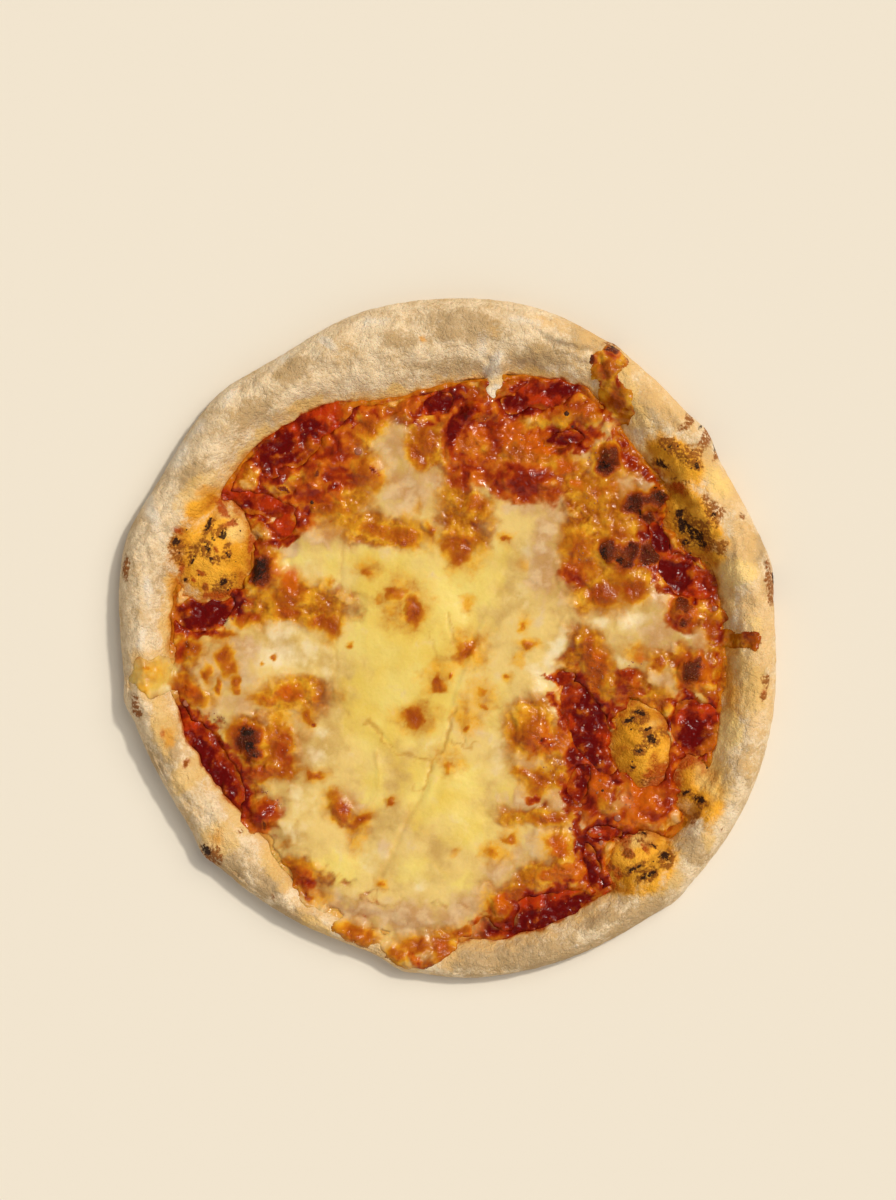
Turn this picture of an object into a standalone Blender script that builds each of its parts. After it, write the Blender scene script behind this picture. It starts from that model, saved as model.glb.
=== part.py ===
"""A hand-stretched pizza: floury dough with an uneven raised rim, tomato sauce and melted, browned cheese.

It lies on the plane z = 0 with its middle on the Z axis. Places and sizes on the pizza are in millimetres,
and angles are in degrees, anticlockwise from +X. Each mesh is turned into metres when it is made.
"""

import bmesh
import bpy
import numpy as np
from mathutils import Vector
from mathutils.bvhtree import BVHTree

METRES = 0.001

# The outer edge and the foot of the rim's inner slope: a radius every 15 degrees.
EDGE_RADII = (131.5, 131.9, 130.0, 132.0, 134.7, 137.4, 136.5, 135.5, 132.0, 134.0, 132.2, 134.6,
              131.5, 130.0, 128.1, 129.5, 129.0, 129.6, 136.0, 137.1, 137.6, 138.2, 137.0, 134.5)
FOOT_RADII = (110, 108, 106, 106, 113, 108, 101, 98, 105, 108, 107, 110,
              110, 111, 109, 107, 116, 120, 120, 121, 119, 119, 117, 112)
# The crest of the rim: a height every 30 degrees.
RIM_HEIGHTS = (15.5, 16.5, 13.5, 15.0, 16.0, 16.5, 15.5, 14.0, 11.5, 10.5, 14.0, 15.5)
# Small bulges of the outer edge: angle, half-width in degrees, how far it stands out.
EDGE_BULGES = ((12.5, 4.0, 1.4), (38.5, 3.6, 2.4), (60.0, 2.2, 0.9), (132.0, 4.0, 0.7), (161.0, 5.0, 0.8),
               (191.0, 3.0, 2.0), (221.5, 3.0, 2.0), (262.0, 3.2, 2.2), (311.0, 3.6, 1.4))

BASE_TOP = 4.5
# What meshes that touch keep between them.
GAP = 0.3
CRUST_STEPS = 150
# The share of the rim's width, at its outer edge, over which bubbles and swells die away.
BUBBLE_FADE = 0.3
# Half of the dough's outline as it is turned. Radius 1 is the foot of the rim and 2 the outer edge,
# height 1 is the top of the base and 2 the crest of the rim.
DOUGH_PROFILE = ((0.0, 1.0), (0.5, 1.0), (0.6, 1.0), (0.68, 1.0), (0.76, 1.0), (0.84, 1.0), (0.92, 1.0),
                 (1.0, 1.0), (1.09, 1.17), (1.18, 1.44), (1.29, 1.72), (1.42, 1.91), (1.56, 2.0),
                 (1.7, 1.96), (1.82, 1.82), (1.91, 1.6), (1.97, 1.32), (2.0, 1.0), (1.98, 0.5),
                 (1.93, 0.16), (1.85, 0.0), (0.0, 0.0))

# Bubbles and swells baked up out of the dough: x, y, half-length, half-width, turn, rise.
BUBBLES = {
    "left": (-95, 35, 25, 20, 80, 8.0),
    "upper right": (92, 72, 14, 9, -35, 4.0),
    "right": (99, 47, 22, 12, -62, 6.5),
    "right inner": (78, -43, 21, 14, -82, 7.5),
    "lower right": (100, -61, 17, 10, -80, 4.5),
    "bottom right": (77, -90, 17, 14, 40, 7.0),
    "floury": (116, 25, 11, 8, -75, 2.5),
    "edge bump": (-95, -86, 8, 6, -45, 2.5),
    "top ridge": (-46, 117, 14, 6, 35, 1.3),
    "top left swell": (-88, 88, 16, 10, 50, 1.2),
    "top swell": (-22, 118, 18, 9, 10, 0.9),
    "top fold": (48, 119, 16, 6, -22, 1.3),
    "top pinch": (21, 111, 9, 5, 80, 1.2),
    "left swell": (-122, 12, 22, 8, 88, 1.2),
    "left end": (-124, -24, 8, 6, -70, 1.4),
    "upper right edge": (98, 84, 14, 7, -45, 1.0),
    "right edge": (124, 20, 14, 6, 90, 1.0),
    "lower right swell": (118, -55, 20, 8, 65, 1.2),
    "bottom swell": (62, -116, 22, 8, 28, 1.0),
}
# The bubbles that break through the topping.
BARE_BUBBLES = ("left", "upper right", "right", "right inner", "lower right", "bottom right")
BARE_SHARE = 0.86
# Cheese comes this far up the side of a bare bubble past the sauce's edge.
CHEESE_CLIMB = 0.5

SAUCE_THICKNESS = 1.2
SAUCE_EDGE_THICKNESS = 0.5
SAUCE_SPREAD = 1.5
SAUCE_CELL = 6.4

# Places where the cheese left the sauce bare: x, y, half-length, half-width, turn.
POOLS = (
    (-63, 78, 16, 9, 42),
    (-50, 88, 12, 6, 25),
    (-76, 54, 14, 4.5, -12),
    (-97, 11, 12, 7, 15),
    (-95, -51, 22, 7.5, -57),
    (95, 25, 13, 7, -35),
    (57, -36, 20, 8, -63),
    (98, -36, 12, 8, -75),
    (35, -111, 25, 7, 16),
    (40, 99, 14, 6, 15),
)
# Places where the cheese ran up and over the rim, in the same terms.
OVERFLOWS = (
    (-117, -15, 10, 8, 0),
    (65, 111, 10, 6, 35),
    (67, 96, 12, 6, -70),
    (118, -1, 9, 3.5, 0),
    (-36, -117, 10, 7, -12),
    (-12, -123, 16, 10, 10),
)
# How far inside the dough's outer edge the cheese on the rim stops.
OVERFLOW_STOP = 3.5
CHEESE_INSET = 2.5
CHEESE_LEVEL = 9.0
CHEESE_EDGE_THICKNESS = 0.9
# The cheese thins towards its own edge over this width, down to this share of its full depth.
CHEESE_THINNING_WIDTH = 8.0
CHEESE_EDGE_SHARE = 0.35
CHEESE_CELL = 4.0

# The grid that the sauce and the cheese are cut from reaches this far from the middle.
GRID_REACH = 144.0
# A sheet clears the highest thing found on these rings round each of its points, at steps of this many degrees.
SEARCH_RINGS = (2.2, 1.32)
SEARCH_TURN = 45
# The height from which the search looks down.
SEARCH_START = 100.0
# How often squares that meet at a corner only are joined.
CORNER_ROUNDS = 4
# How far a point on a sheet's outline may be pulled, in cells, how much of the way per step, and how often.
PULL_LIMIT = 0.45
PULL_STEP = 0.7
PULL_ROUNDS = 6
# The slope of the outline is taken over this distance, and is held over this square.
SLOPE_SPAN = 0.05
LEAST_SLOPE = 0.2

# Cheese blisters, browned where they stand up: x, y, half-length, half-width, turn, rise.
BLISTERS = (
    (65, 73, 7, 5.5, 70, 3.4),
    (82, 55, 10, 7, 15, 3.6),
    (68, 34, 9, 6, -15, 3.0),
    (82, 34, 5, 5, 0, 2.4),
    (94, 11, 7, 5, 80, 2.8),
    (98, -13, 7, 6.5, 60, 3.2),
    (72, -19, 7, 5.5, 60, 2.8),
    (34, -38, 9, 7, 60, 2.2),
    (-78, -42, 10, 7, -60, 3.0),
    (-74, -71, 8, 6, 40, 3.2),
    (-59, -96, 8, 6, -50, 2.4),
    (-43, -68, 9, 5, -60, 1.8),
    (-33, 67, 8, 7, 0, 2.2),
    (31, 64, 15, 8, -10, 2.4),
    (12, 91, 8, 5, 20, 2.6),
    (-68, 27, 9, 5, 80, 2.0),
    (20, -109, 7, 6, -30, 2.2),
)
# Broad low swells of the melted cheese, in the same terms.
SWELLS = (
    (-20, 0, 34, 30, 0, 1.6),
    (-10, -75, 30, 34, 20, 1.4),
    (15, 20, 24, 30, 0, -0.8),
    (62, -2, 24, 14, 10, 1.2),
    (62, 45, 18, 22, 0, 1.3),
    (-55, 40, 22, 14, 0, 1.0),
    (-80, -12, 20, 14, 0, 1.2),
    (-52, -85, 14, 20, 40, 1.0),
    (52, 85, 18, 12, 0, 1.2),
    (42, -80, 14, 18, 0, 1.0),
)
# A dome's side falls off with this power of its height share, so that it meets the ground smoothly.
DOME_POWER = 1.5

# Each finish: colour and roughness.
BAKED_DOUGH = ((0.74, 0.58, 0.37), 0.75)
TOMATO_SAUCE = ((0.42, 0.03, 0.01), 0.35)
MELTED_CHEESE = ((0.76, 0.47, 0.12), 0.35)

# Points of the turned dough that lie this close together become one.
MERGE_DISTANCE = 0.0001


def around(stations, angle):
    """The value at an angle of a smooth ring drawn through evenly spaced stations."""
    stations = np.asarray(stations, float)
    count = len(stations)
    place = np.mod(angle / 360.0 * count, count)
    index = np.floor(place).astype(int)
    t = place - index
    before, here, after, beyond = (stations[(index + k) % count] for k in (-1, 0, 1, 2))
    slope = after - before
    bend = 2.0 * before - 5.0 * here + 4.0 * after - beyond
    twist = 3.0 * (here - after) + beyond - before
    return here + 0.5 * t * (slope + t * (bend + t * twist))


def edge_radius(angle):
    """The outer edge of the dough, with its bulges."""
    radius = around(EDGE_RADII, angle)
    for centre, half_width, height in EDGE_BULGES:
        away = (np.mod(angle - centre + 180.0, 360.0) - 180.0) / half_width
        radius = radius + height * np.exp(-away**2)
    return radius


def distance_in_ellipse(x, y, ellipse):
    """0 at the middle of an ellipse, 1 on its outline."""
    centre_x, centre_y, half_length, half_width, turn = ellipse[:5]
    turn = np.radians(turn)
    along = (x - centre_x) * np.cos(turn) + (y - centre_y) * np.sin(turn)
    across = (y - centre_y) * np.cos(turn) - (x - centre_x) * np.sin(turn)
    return np.hypot(along / half_length, across / half_width)


def domes(x, y, ellipses):
    """The summed height of rounded domes that stand on ellipses."""
    height = np.zeros(np.shape(x))
    for ellipse in ellipses:
        fall = np.clip(1.0 - distance_in_ellipse(x, y, ellipse) ** 2, 0.0, 1.0)
        height = height + ellipse[5] * fall**DOME_POWER
    return height


def outside(x, y, ellipse):
    """About how many millimetres a point lies outside an ellipse. It is negative inside."""
    return (distance_in_ellipse(x, y, ellipse) - 1.0) * min(ellipse[2:4])


def clear_of_bubbles(x, y):
    """How far a point lies outside the dough bubbles that break through the topping."""
    nearest = np.full(np.shape(x), np.inf)
    for name in BARE_BUBBLES:
        centre_x, centre_y, half_length, half_width, turn, _ = BUBBLES[name]
        bare = (centre_x, centre_y, BARE_SHARE * half_length, BARE_SHARE * half_width, turn)
        nearest = np.minimum(nearest, outside(x, y, bare))
    return nearest


def sauce_reach(x, y):
    """Over 0 where there is sauce: inside the foot of the rim, and off the bare bubbles."""
    shore = around(FOOT_RADII, np.degrees(np.arctan2(y, x))) + SAUCE_SPREAD - np.hypot(x, y)
    return np.minimum(shore, clear_of_bubbles(x, y))


def cheese_reach(x, y):
    """Over 0 where there is cheese."""
    angle = np.degrees(np.arctan2(y, x))
    shore = around(FOOT_RADII, angle) - CHEESE_INSET - np.hypot(x, y)
    reach = np.minimum(shore, clear_of_bubbles(x, y) + CHEESE_CLIMB)
    for pool in POOLS:
        reach = np.minimum(reach, outside(x, y, pool))
    for overflow in OVERFLOWS:
        reach = np.maximum(reach, -outside(x, y, overflow))
    return np.minimum(reach, edge_radius(angle) - OVERFLOW_STOP - np.hypot(x, y))


def make_material(name, finish):
    """A plain matt or glossy food surface."""
    colour, roughness = finish
    material = bpy.data.materials.new(name)
    material.use_nodes = True
    shader = material.node_tree.nodes["Principled BSDF"]
    shader.inputs["Base Color"].default_value = (*colour, 1.0)
    shader.inputs["Roughness"].default_value = roughness
    shader.inputs["Metallic"].default_value = 0.0
    return material


def add_object(name, mesh, material, home):
    """Puts a smooth-shaded mesh into the pizza's collection as one named node."""
    mesh.materials.append(material)
    mesh.shade_smooth()
    node = bpy.data.objects.new(name, mesh)
    home.objects.link(node)
    return node


def turned_dough():
    """The dough's outline, spun round Z in the plain units of its profile."""
    outline = bpy.data.meshes.new("dough outline")
    points = [(radius, 0.0, height) for radius, height in DOUGH_PROFILE]
    edges = [(i, i + 1) for i in range(len(points) - 1)]
    outline.from_pydata(points, edges, [])
    spun = bpy.data.objects.new("spun dough", outline)
    bpy.context.scene.collection.objects.link(spun)
    screw = spun.modifiers.new("turn", "SCREW")
    screw.axis = "Z"
    screw.steps = CRUST_STEPS
    screw.render_steps = CRUST_STEPS
    screw.use_merge_vertices = True
    screw.merge_threshold = MERGE_DISTANCE
    screw.use_normal_calculate = True
    bpy.context.view_layer.update()
    mesh = bpy.data.meshes.new_from_object(spun.evaluated_get(bpy.context.evaluated_depsgraph_get()))
    bpy.data.objects.remove(spun)
    bpy.data.meshes.remove(outline)
    return mesh


def stretch_dough(points):
    """Moves the spun points, in profile units, to the uneven outline, rim and bubbles of the real dough."""
    ring = np.hypot(points[:, 0], points[:, 1])
    level = points[:, 2]
    direction = np.arctan2(points[:, 1], points[:, 0])
    angle = np.degrees(direction)
    foot = around(FOOT_RADII, angle)
    radius = np.where(ring < 1.0, ring * foot, foot + (ring - 1.0) * (edge_radius(angle) - foot))
    x = radius * np.cos(direction)
    y = radius * np.sin(direction)
    rise = np.clip(level - 1.0, 0.0, 1.0) * (around(RIM_HEIGHTS, angle) - BASE_TOP)
    lifted = domes(x, y, BUBBLES.values()) * np.clip((2.0 - ring) / BUBBLE_FADE, 0.0, 1.0)
    height = np.minimum(level, 1.0) * BASE_TOP + rise + np.where(level >= 1.0, lifted, 0.0)
    return np.column_stack((x, y, height))


def make_crust(home):
    """The dough: a flat base, a raised rim and the bubbles baked into it."""
    mesh = turned_dough()
    points = np.empty(len(mesh.vertices) * 3)
    mesh.vertices.foreach_get("co", points)
    mesh.vertices.foreach_set("co", (stretch_dough(points.reshape(-1, 3)) * METRES).ravel())
    mesh.update()
    return add_object("crust", mesh, make_material("baked dough", BAKED_DOUGH), home)


class Ground:
    """The highest surface under a place, over the nodes that a sheet lies on."""

    def __init__(self, nodes):
        graph = bpy.context.evaluated_depsgraph_get()
        self.trees = [BVHTree.FromObject(node, graph) for node in nodes]
        turns = np.radians(range(0, 360, SEARCH_TURN))
        self.near = [(far * np.cos(turn), far * np.sin(turn)) for far in SEARCH_RINGS for turn in turns]
        self.near.append((0.0, 0.0))

    def height(self, x, y):
        """In millimetres, over the place and two rings of places round it."""
        best = 0.0
        for tree in self.trees:
            for step_x, step_y in self.near:
                start = Vector((x + step_x, y + step_y, SEARCH_START)) * METRES
                hit = tree.ray_cast(start, Vector((0.0, 0.0, -1.0)))[0]
                if hit is not None:
                    best = max(best, hit.z / METRES)
        return best


def squares_inside(reach, xs, ys):
    """Which squares of a grid are covered: one connected patch that never touches itself at a corner only."""
    middle_x, middle_y = np.meshgrid((xs[1:] + xs[:-1]) / 2, (ys[1:] + ys[:-1]) / 2, indexing="ij")
    covered = reach(middle_x, middle_y) > 0.0
    for _ in range(CORNER_ROUNDS):
        low, right, up, far = covered[:-1, :-1], covered[1:, :-1], covered[:-1, 1:], covered[1:, 1:]
        rising = low & far & ~right & ~up
        falling = right & up & ~low & ~far
        covered[1:, :-1] |= rising
        covered[:-1, :-1] |= falling
    patch = np.zeros_like(covered)
    patch[tuple(seed // 2 for seed in covered.shape)] = True
    while True:
        grown = patch.copy()
        grown[1:] |= patch[:-1]
        grown[:-1] |= patch[1:]
        grown[:, 1:] |= patch[:, :-1]
        grown[:, :-1] |= patch[:, 1:]
        grown &= covered
        if (grown == patch).all():
            return patch
        patch = grown


def pull_to_outline(reach, x, y, cell):
    """Moves points of a patch's rim onto the line where reach is 0."""
    start_x, start_y = x.copy(), y.copy()
    most = PULL_LIMIT * cell
    half = SLOPE_SPAN
    for _ in range(PULL_ROUNDS):
        slope_x = (reach(x + half, y) - reach(x - half, y)) / (2.0 * half)
        slope_y = (reach(x, y + half) - reach(x, y - half)) / (2.0 * half)
        move = PULL_STEP * reach(x, y) / np.maximum(slope_x**2 + slope_y**2, LEAST_SLOPE)
        x = np.clip(x - move * slope_x, start_x - most, start_x + most)
        y = np.clip(y - move * slope_y, start_y - most, start_y + most)
    return x, y


def make_sheet(name, reach, cell, bottom_at, top_at, material, home):
    """A closed sheet over the plane where reach is over 0, with its own bottom and top."""
    span = np.arange(-GRID_REACH, GRID_REACH + cell, cell)
    patch = squares_inside(reach, span, span)
    corners = np.zeros((len(span), len(span)), int)
    for step_i in (0, 1):
        for step_j in (0, 1):
            corners[step_i:len(span) - 1 + step_i, step_j:len(span) - 1 + step_j] += patch
    used = corners > 0
    grid_x, grid_y = np.meshgrid(span, span, indexing="ij")
    x, y = grid_x[used], grid_y[used]
    on_rim = corners[used] < 4
    x[on_rim], y[on_rim] = pull_to_outline(reach, x[on_rim], y[on_rim], cell)
    number = np.full(used.shape, -1)
    number[used] = np.arange(used.sum())

    bottoms = np.array([bottom_at(px, py) for px, py in zip(x, y)])
    tops = top_at(x, y, bottoms)
    shape = bmesh.new()
    lower = [shape.verts.new(Vector((px, py, pz)) * METRES) for px, py, pz in zip(x, y, bottoms)]
    upper = [shape.verts.new(Vector((px, py, pz)) * METRES) for px, py, pz in zip(x, y, tops)]
    for i, j in np.argwhere(patch):
        loop = [number[i, j], number[i + 1, j], number[i + 1, j + 1], number[i, j + 1]]
        split = 0 if (i + j) % 2 else 1
        for order in ((0, 1, 2), (0, 2, 3)):
            triangle = [loop[(k + split) % 4] for k in order]
            shape.faces.new([upper[k] for k in triangle])
            shape.faces.new([lower[k] for k in reversed(triangle)])
        sides = ((0, 1, (i, j - 1)), (1, 2, (i + 1, j)), (2, 3, (i, j + 1)), (3, 0, (i - 1, j)))
        for first, second, neighbour in sides:
            if not patch[neighbour]:
                a, b = loop[first], loop[second]
                shape.faces.new((lower[a], lower[b], upper[b]))
                shape.faces.new((lower[a], upper[b], upper[a]))
    mesh = bpy.data.meshes.new(name)
    shape.to_mesh(mesh)
    shape.free()
    return add_object(name, mesh, material, home)


def make_sauce(crust, home):
    """Tomato sauce over the base, running a little up the foot of the rim."""
    ground = Ground([crust])

    def top_at(x, y, bottoms):
        level = BASE_TOP + GAP + SAUCE_THICKNESS
        return np.maximum(level, bottoms + SAUCE_EDGE_THICKNESS)

    return make_sheet(
        "tomato_sauce",
        sauce_reach,
        SAUCE_CELL,
        lambda x, y: ground.height(x, y) + GAP,
        top_at,
        make_material("tomato sauce", TOMATO_SAUCE),
        home,
    )


def make_cheese(crust, sauce, home):
    """Melted cheese over the sauce, with its blisters, its bare gaps and its overflows on the rim."""
    ground = Ground([crust, sauce])

    def top_at(x, y, bottoms):
        lowest = bottoms + CHEESE_EDGE_THICKNESS
        inward = np.clip(cheese_reach(x, y) / CHEESE_THINNING_WIDTH, 0.0, 1.0)
        share = CHEESE_EDGE_SHARE + (1.0 - CHEESE_EDGE_SHARE) * inward
        depth = np.maximum(CHEESE_LEVEL + domes(x, y, SWELLS) - lowest, 0.0)
        return lowest + share * depth + domes(x, y, BLISTERS)

    return make_sheet(
        "melted_cheese",
        cheese_reach,
        CHEESE_CELL,
        lambda x, y: ground.height(x, y) + GAP,
        top_at,
        make_material("melted cheese", MELTED_CHEESE),
        home,
    )


def clear_scene():
    """Removes whatever the scene starts with."""
    for old in list(bpy.data.objects):
        bpy.data.objects.remove(old)


def build_pizza():
    """The three layers of the pizza, from the dough up."""
    clear_scene()
    home = bpy.data.collections.new("pizza")
    bpy.context.scene.collection.children.link(home)
    crust = make_crust(home)
    bpy.context.view_layer.update()
    sauce = make_sauce(crust, home)
    bpy.context.view_layer.update()
    make_cheese(crust, sauce, home)


build_pizza()
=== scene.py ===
# %% [markdown]
# # A hand-stretched pizza, seen from above
#
# The frame holds three plain solids: the dough, the tomato sauce on it, and the melted cheese on both.
# They have the right size and the main shapes, but no wrinkles, stains or browning.
# This lesson puts a fine mesh over each of them, made from the same numbers, and paints it with masks.
# A mask is one number for each point of a mesh. It says how browned, how red or how floury that point is.

import bpy
import math
import numpy as np
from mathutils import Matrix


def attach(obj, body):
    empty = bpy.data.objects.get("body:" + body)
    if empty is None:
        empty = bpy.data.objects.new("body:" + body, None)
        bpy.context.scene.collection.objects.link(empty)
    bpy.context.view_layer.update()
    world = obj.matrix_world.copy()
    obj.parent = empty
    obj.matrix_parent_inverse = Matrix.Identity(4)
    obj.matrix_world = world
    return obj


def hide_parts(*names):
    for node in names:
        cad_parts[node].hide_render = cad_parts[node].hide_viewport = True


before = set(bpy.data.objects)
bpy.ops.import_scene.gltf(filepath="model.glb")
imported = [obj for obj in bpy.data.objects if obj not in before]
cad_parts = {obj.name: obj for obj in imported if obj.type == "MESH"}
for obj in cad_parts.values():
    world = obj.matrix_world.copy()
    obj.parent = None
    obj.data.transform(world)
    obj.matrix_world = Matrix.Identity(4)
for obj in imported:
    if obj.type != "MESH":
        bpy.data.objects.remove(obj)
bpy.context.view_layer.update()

# %% [markdown]
# ## The numbers of the solids
#
# The fine meshes must lie where the solids lie, so they start from the same measures, in millimetres.
# The dough is a profile turned round its middle: radius 1 is the foot of the rim and 2 its outer edge,
# height 1 is the top of the base and 2 the crest. Rings of stations say how far out and how high that is
# in each direction. The top of the dough is the first points of the profile, and its outer wall the last
# ones. Bubbles and swells are domes, each written as x, y, half-length, half-width, turn and rise.

# %% Outline of the dough
METRES = 0.001

EDGE_RADII = (131.5, 131.9, 130.0, 132.0, 134.7, 137.4, 136.5, 135.5, 132.0, 134.0, 132.2, 134.6,
              131.5, 130.0, 128.1, 129.5, 129.0, 129.6, 136.0, 137.1, 137.6, 138.2, 137.0, 134.5)
FOOT_RADII = (110, 108, 106, 106, 113, 108, 101, 98, 105, 108, 107, 110,
              110, 111, 109, 107, 116, 120, 120, 121, 119, 119, 117, 112)
RIM_HEIGHTS = (15.5, 16.5, 13.5, 15.0, 16.0, 16.5, 15.5, 14.0, 11.5, 10.5, 14.0, 15.5)
EDGE_BULGES = ((12.5, 4.0, 1.4), (38.5, 3.6, 2.4), (60.0, 2.2, 0.9), (132.0, 4.0, 0.7), (161.0, 5.0, 0.8),
               (191.0, 3.0, 2.0), (221.5, 3.0, 2.0), (262.0, 3.2, 2.2), (311.0, 3.6, 1.4))
BASE_TOP = 4.5
DOUGH_PROFILE = ((0.0, 1.0), (0.5, 1.0), (0.6, 1.0), (0.68, 1.0), (0.76, 1.0), (0.84, 1.0), (0.92, 1.0),
                 (1.0, 1.0), (1.09, 1.17), (1.18, 1.44), (1.29, 1.72), (1.42, 1.91), (1.56, 2.0),
                 (1.7, 1.96), (1.82, 1.82), (1.91, 1.6), (1.97, 1.32), (2.0, 1.0), (1.98, 0.5),
                 (1.93, 0.16), (1.85, 0.0))
TOP_POINTS = 18
WALL_START = 15

# %% Bubbles of the dough
BUBBLES = {
    "left": (-95, 35, 25, 20, 80, 8.0),
    "upper right": (92, 72, 14, 9, -35, 4.0),
    "right": (99, 47, 22, 12, -62, 6.5),
    "right inner": (78, -43, 21, 14, -82, 7.5),
    "lower right": (100, -61, 17, 10, -80, 4.5),
    "bottom right": (77, -90, 17, 14, 40, 7.0),
    "floury": (116, 25, 11, 8, -75, 2.5),
    "edge bump": (-95, -86, 8, 6, -45, 2.5),
    "top ridge": (-46, 117, 14, 6, 35, 1.3),
    "top left swell": (-88, 88, 16, 10, 50, 1.2),
    "top swell": (-22, 118, 18, 9, 10, 0.9),
    "top fold": (48, 119, 16, 6, -22, 1.3),
    "top pinch": (21, 111, 9, 5, 80, 1.2),
    "left swell": (-122, 12, 22, 8, 88, 1.2),
    "left end": (-124, -24, 8, 6, -70, 1.4),
    "upper right edge": (98, 84, 14, 7, -45, 1.0),
    "right edge": (124, 20, 14, 6, 90, 1.0),
    "lower right swell": (118, -55, 20, 8, 65, 1.2),
    "bottom swell": (62, -116, 22, 8, 28, 1.0),
}
BARE_BUBBLES = ("left", "upper right", "right", "right inner", "lower right", "bottom right")
BARE_SHARE = 0.86
BUBBLE_FADE = 0.3
print(len(BUBBLES), "bubbles and swells in the dough,", len(BARE_BUBBLES), "of them bare of topping")

# %% Pools, overflows and blisters of the topping
POOLS = (
    (-63, 78, 16, 9, 42), (-50, 88, 12, 6, 25), (-76, 54, 14, 4.5, -12), (-97, 11, 12, 7, 15),
    (-95, -51, 22, 7.5, -57), (95, 25, 13, 7, -35), (57, -36, 20, 8, -63), (98, -36, 12, 8, -75),
    (35, -111, 25, 7, 16), (40, 99, 14, 6, 15),
)
OVERFLOWS = (
    (-117, -15, 10, 8), (65, 111, 10, 6, 35), (67, 96, 12, 6, -70), (118, -1, 9, 3.5), (-36, -117, 10, 7, -12),
    (-12, -123, 16, 10, 10),
)
BLISTERS = (
    (65, 73, 7, 5.5, 70, 3.4), (82, 55, 10, 7, 15, 3.6), (68, 34, 9, 6, -15, 3.0), (82, 34, 5, 5, 0, 2.4),
    (94, 11, 7, 5, 80, 2.8), (98, -13, 7, 6.5, 60, 3.2), (72, -19, 7, 5.5, 60, 2.8), (34, -38, 9, 7, 60, 2.2),
    (-78, -42, 10, 7, -60, 3.0), (-74, -71, 8, 6, 40, 3.2), (-59, -96, 8, 6, -50, 2.4),
    (-43, -68, 9, 5, -60, 1.8), (-33, 67, 8, 7, 0, 2.2), (31, 64, 15, 8, -10, 2.4), (12, 91, 8, 5, 20, 2.6),
    (-68, 27, 9, 5, 80, 2.0), (20, -109, 7, 6, -30, 2.2),
)
SWELLS = (
    (-20, 0, 34, 30, 0, 1.6), (-10, -75, 30, 34, 20, 1.4), (15, 20, 24, 30, 0, -0.8), (62, -2, 24, 14, 10, 1.2),
    (62, 45, 18, 22, 0, 1.3), (-55, 40, 22, 14, 0, 1.0), (-80, -12, 20, 14, 0, 1.2),
    (-52, -85, 14, 20, 40, 1.0), (52, 85, 18, 12, 0, 1.2), (42, -80, 14, 18, 0, 1.0),
)
CHEESE_LEVEL = 9.0
print(len(POOLS), "bare pools of sauce,", len(BLISTERS), "blisters")

# %% [markdown]
# ## Soft random fields
#
# Food is uneven at every scale. Gradient noise gives smooth random hills of a chosen size, and adding
# finer layers gives roughness. Moving a place a little by noise before anything is looked up there makes
# drawn ellipses wander like real edges. The same seed always gives the same hills.

# %% Noise
NOISE_CELLS = 256


def noise(x, y, size, seed):
    """Smooth random hills between about -1 and 1, each about size across."""
    turn = np.random.default_rng(seed).random((NOISE_CELLS, NOISE_CELLS)) * 2.0 * np.pi
    u, v = x / size + 97.3, y / size + 61.8
    i, j = np.floor(u).astype(int), np.floor(v).astype(int)
    u, v = u - i, v - j

    def corner(di, dj):
        angle = turn[(i + di) % NOISE_CELLS, (j + dj) % NOISE_CELLS]
        return np.cos(angle) * (u - di) + np.sin(angle) * (v - dj)

    ease_u = u * u * u * (u * (6.0 * u - 15.0) + 10.0)
    ease_v = v * v * v * (v * (6.0 * v - 15.0) + 10.0)
    low = corner(0, 0) * (1.0 - ease_u) + corner(1, 0) * ease_u
    high = corner(0, 1) * (1.0 - ease_u) + corner(1, 1) * ease_u
    return 1.5 * (low * (1.0 - ease_v) + high * ease_v)


def rough(x, y, size, octaves, seed):
    """Noise with finer noise on top, each layer half the size and half the strength of the last."""
    return sum(noise(x, y, size / 2**k, seed + k) / 2**k for k in range(octaves))


def lumps(x, y, size, octaves, seed):
    """Rounded lumps with sharp valleys between them, from about -1 to 1. Folding noise at 0 makes them."""
    folded = sum(np.abs(noise(x, y, size / 2**k, seed + k)) / 2**k for k in range(octaves))
    return 2.0 * folded - 1.0


def swirl(x, y, reach, size, seed):
    """The place moved a little at random."""
    return x + reach * rough(x, y, size, 2, seed), y + reach * rough(x, y, size, 2, seed + 50)


def ease(low, high, value):
    """0 below low, 1 above high, smooth between."""
    t = np.clip((value - low) / (high - low), 0.0, 1.0)
    return t * t * (3.0 - 2.0 * t)


# %% Shapes on the plane
def around(stations, angle):
    """The value at an angle of a smooth ring drawn through evenly spaced stations."""
    stations = np.asarray(stations, float)
    count = len(stations)
    place = np.mod(angle / 360.0 * count, count)
    index = np.floor(place).astype(int)
    t = place - index
    before, here, after, beyond = (stations[(index + k) % count] for k in (-1, 0, 1, 2))
    slope = after - before
    bend = 2.0 * before - 5.0 * here + 4.0 * after - beyond
    twist = 3.0 * (here - after) + beyond - before
    return here + 0.5 * t * (slope + t * (bend + t * twist))


def edge_radius(angle):
    """The outer edge of the dough, with its bulges."""
    radius = around(EDGE_RADII, angle)
    for centre, half_width, height in EDGE_BULGES:
        away = (np.mod(angle - centre + 180.0, 360.0) - 180.0) / half_width
        radius = radius + height * np.exp(-away**2)
    return radius


def distance_in_ellipse(x, y, ellipse):
    """0 at the middle of an ellipse, 1 on its outline. An ellipse of only four numbers isn't turned."""
    centre_x, centre_y, half_length, half_width, turn = (*ellipse, 0)[:5]
    turn = np.radians(turn)
    along = (x - centre_x) * np.cos(turn) + (y - centre_y) * np.sin(turn)
    across = (y - centre_y) * np.cos(turn) - (x - centre_x) * np.sin(turn)
    return np.hypot(along / half_length, across / half_width)


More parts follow.
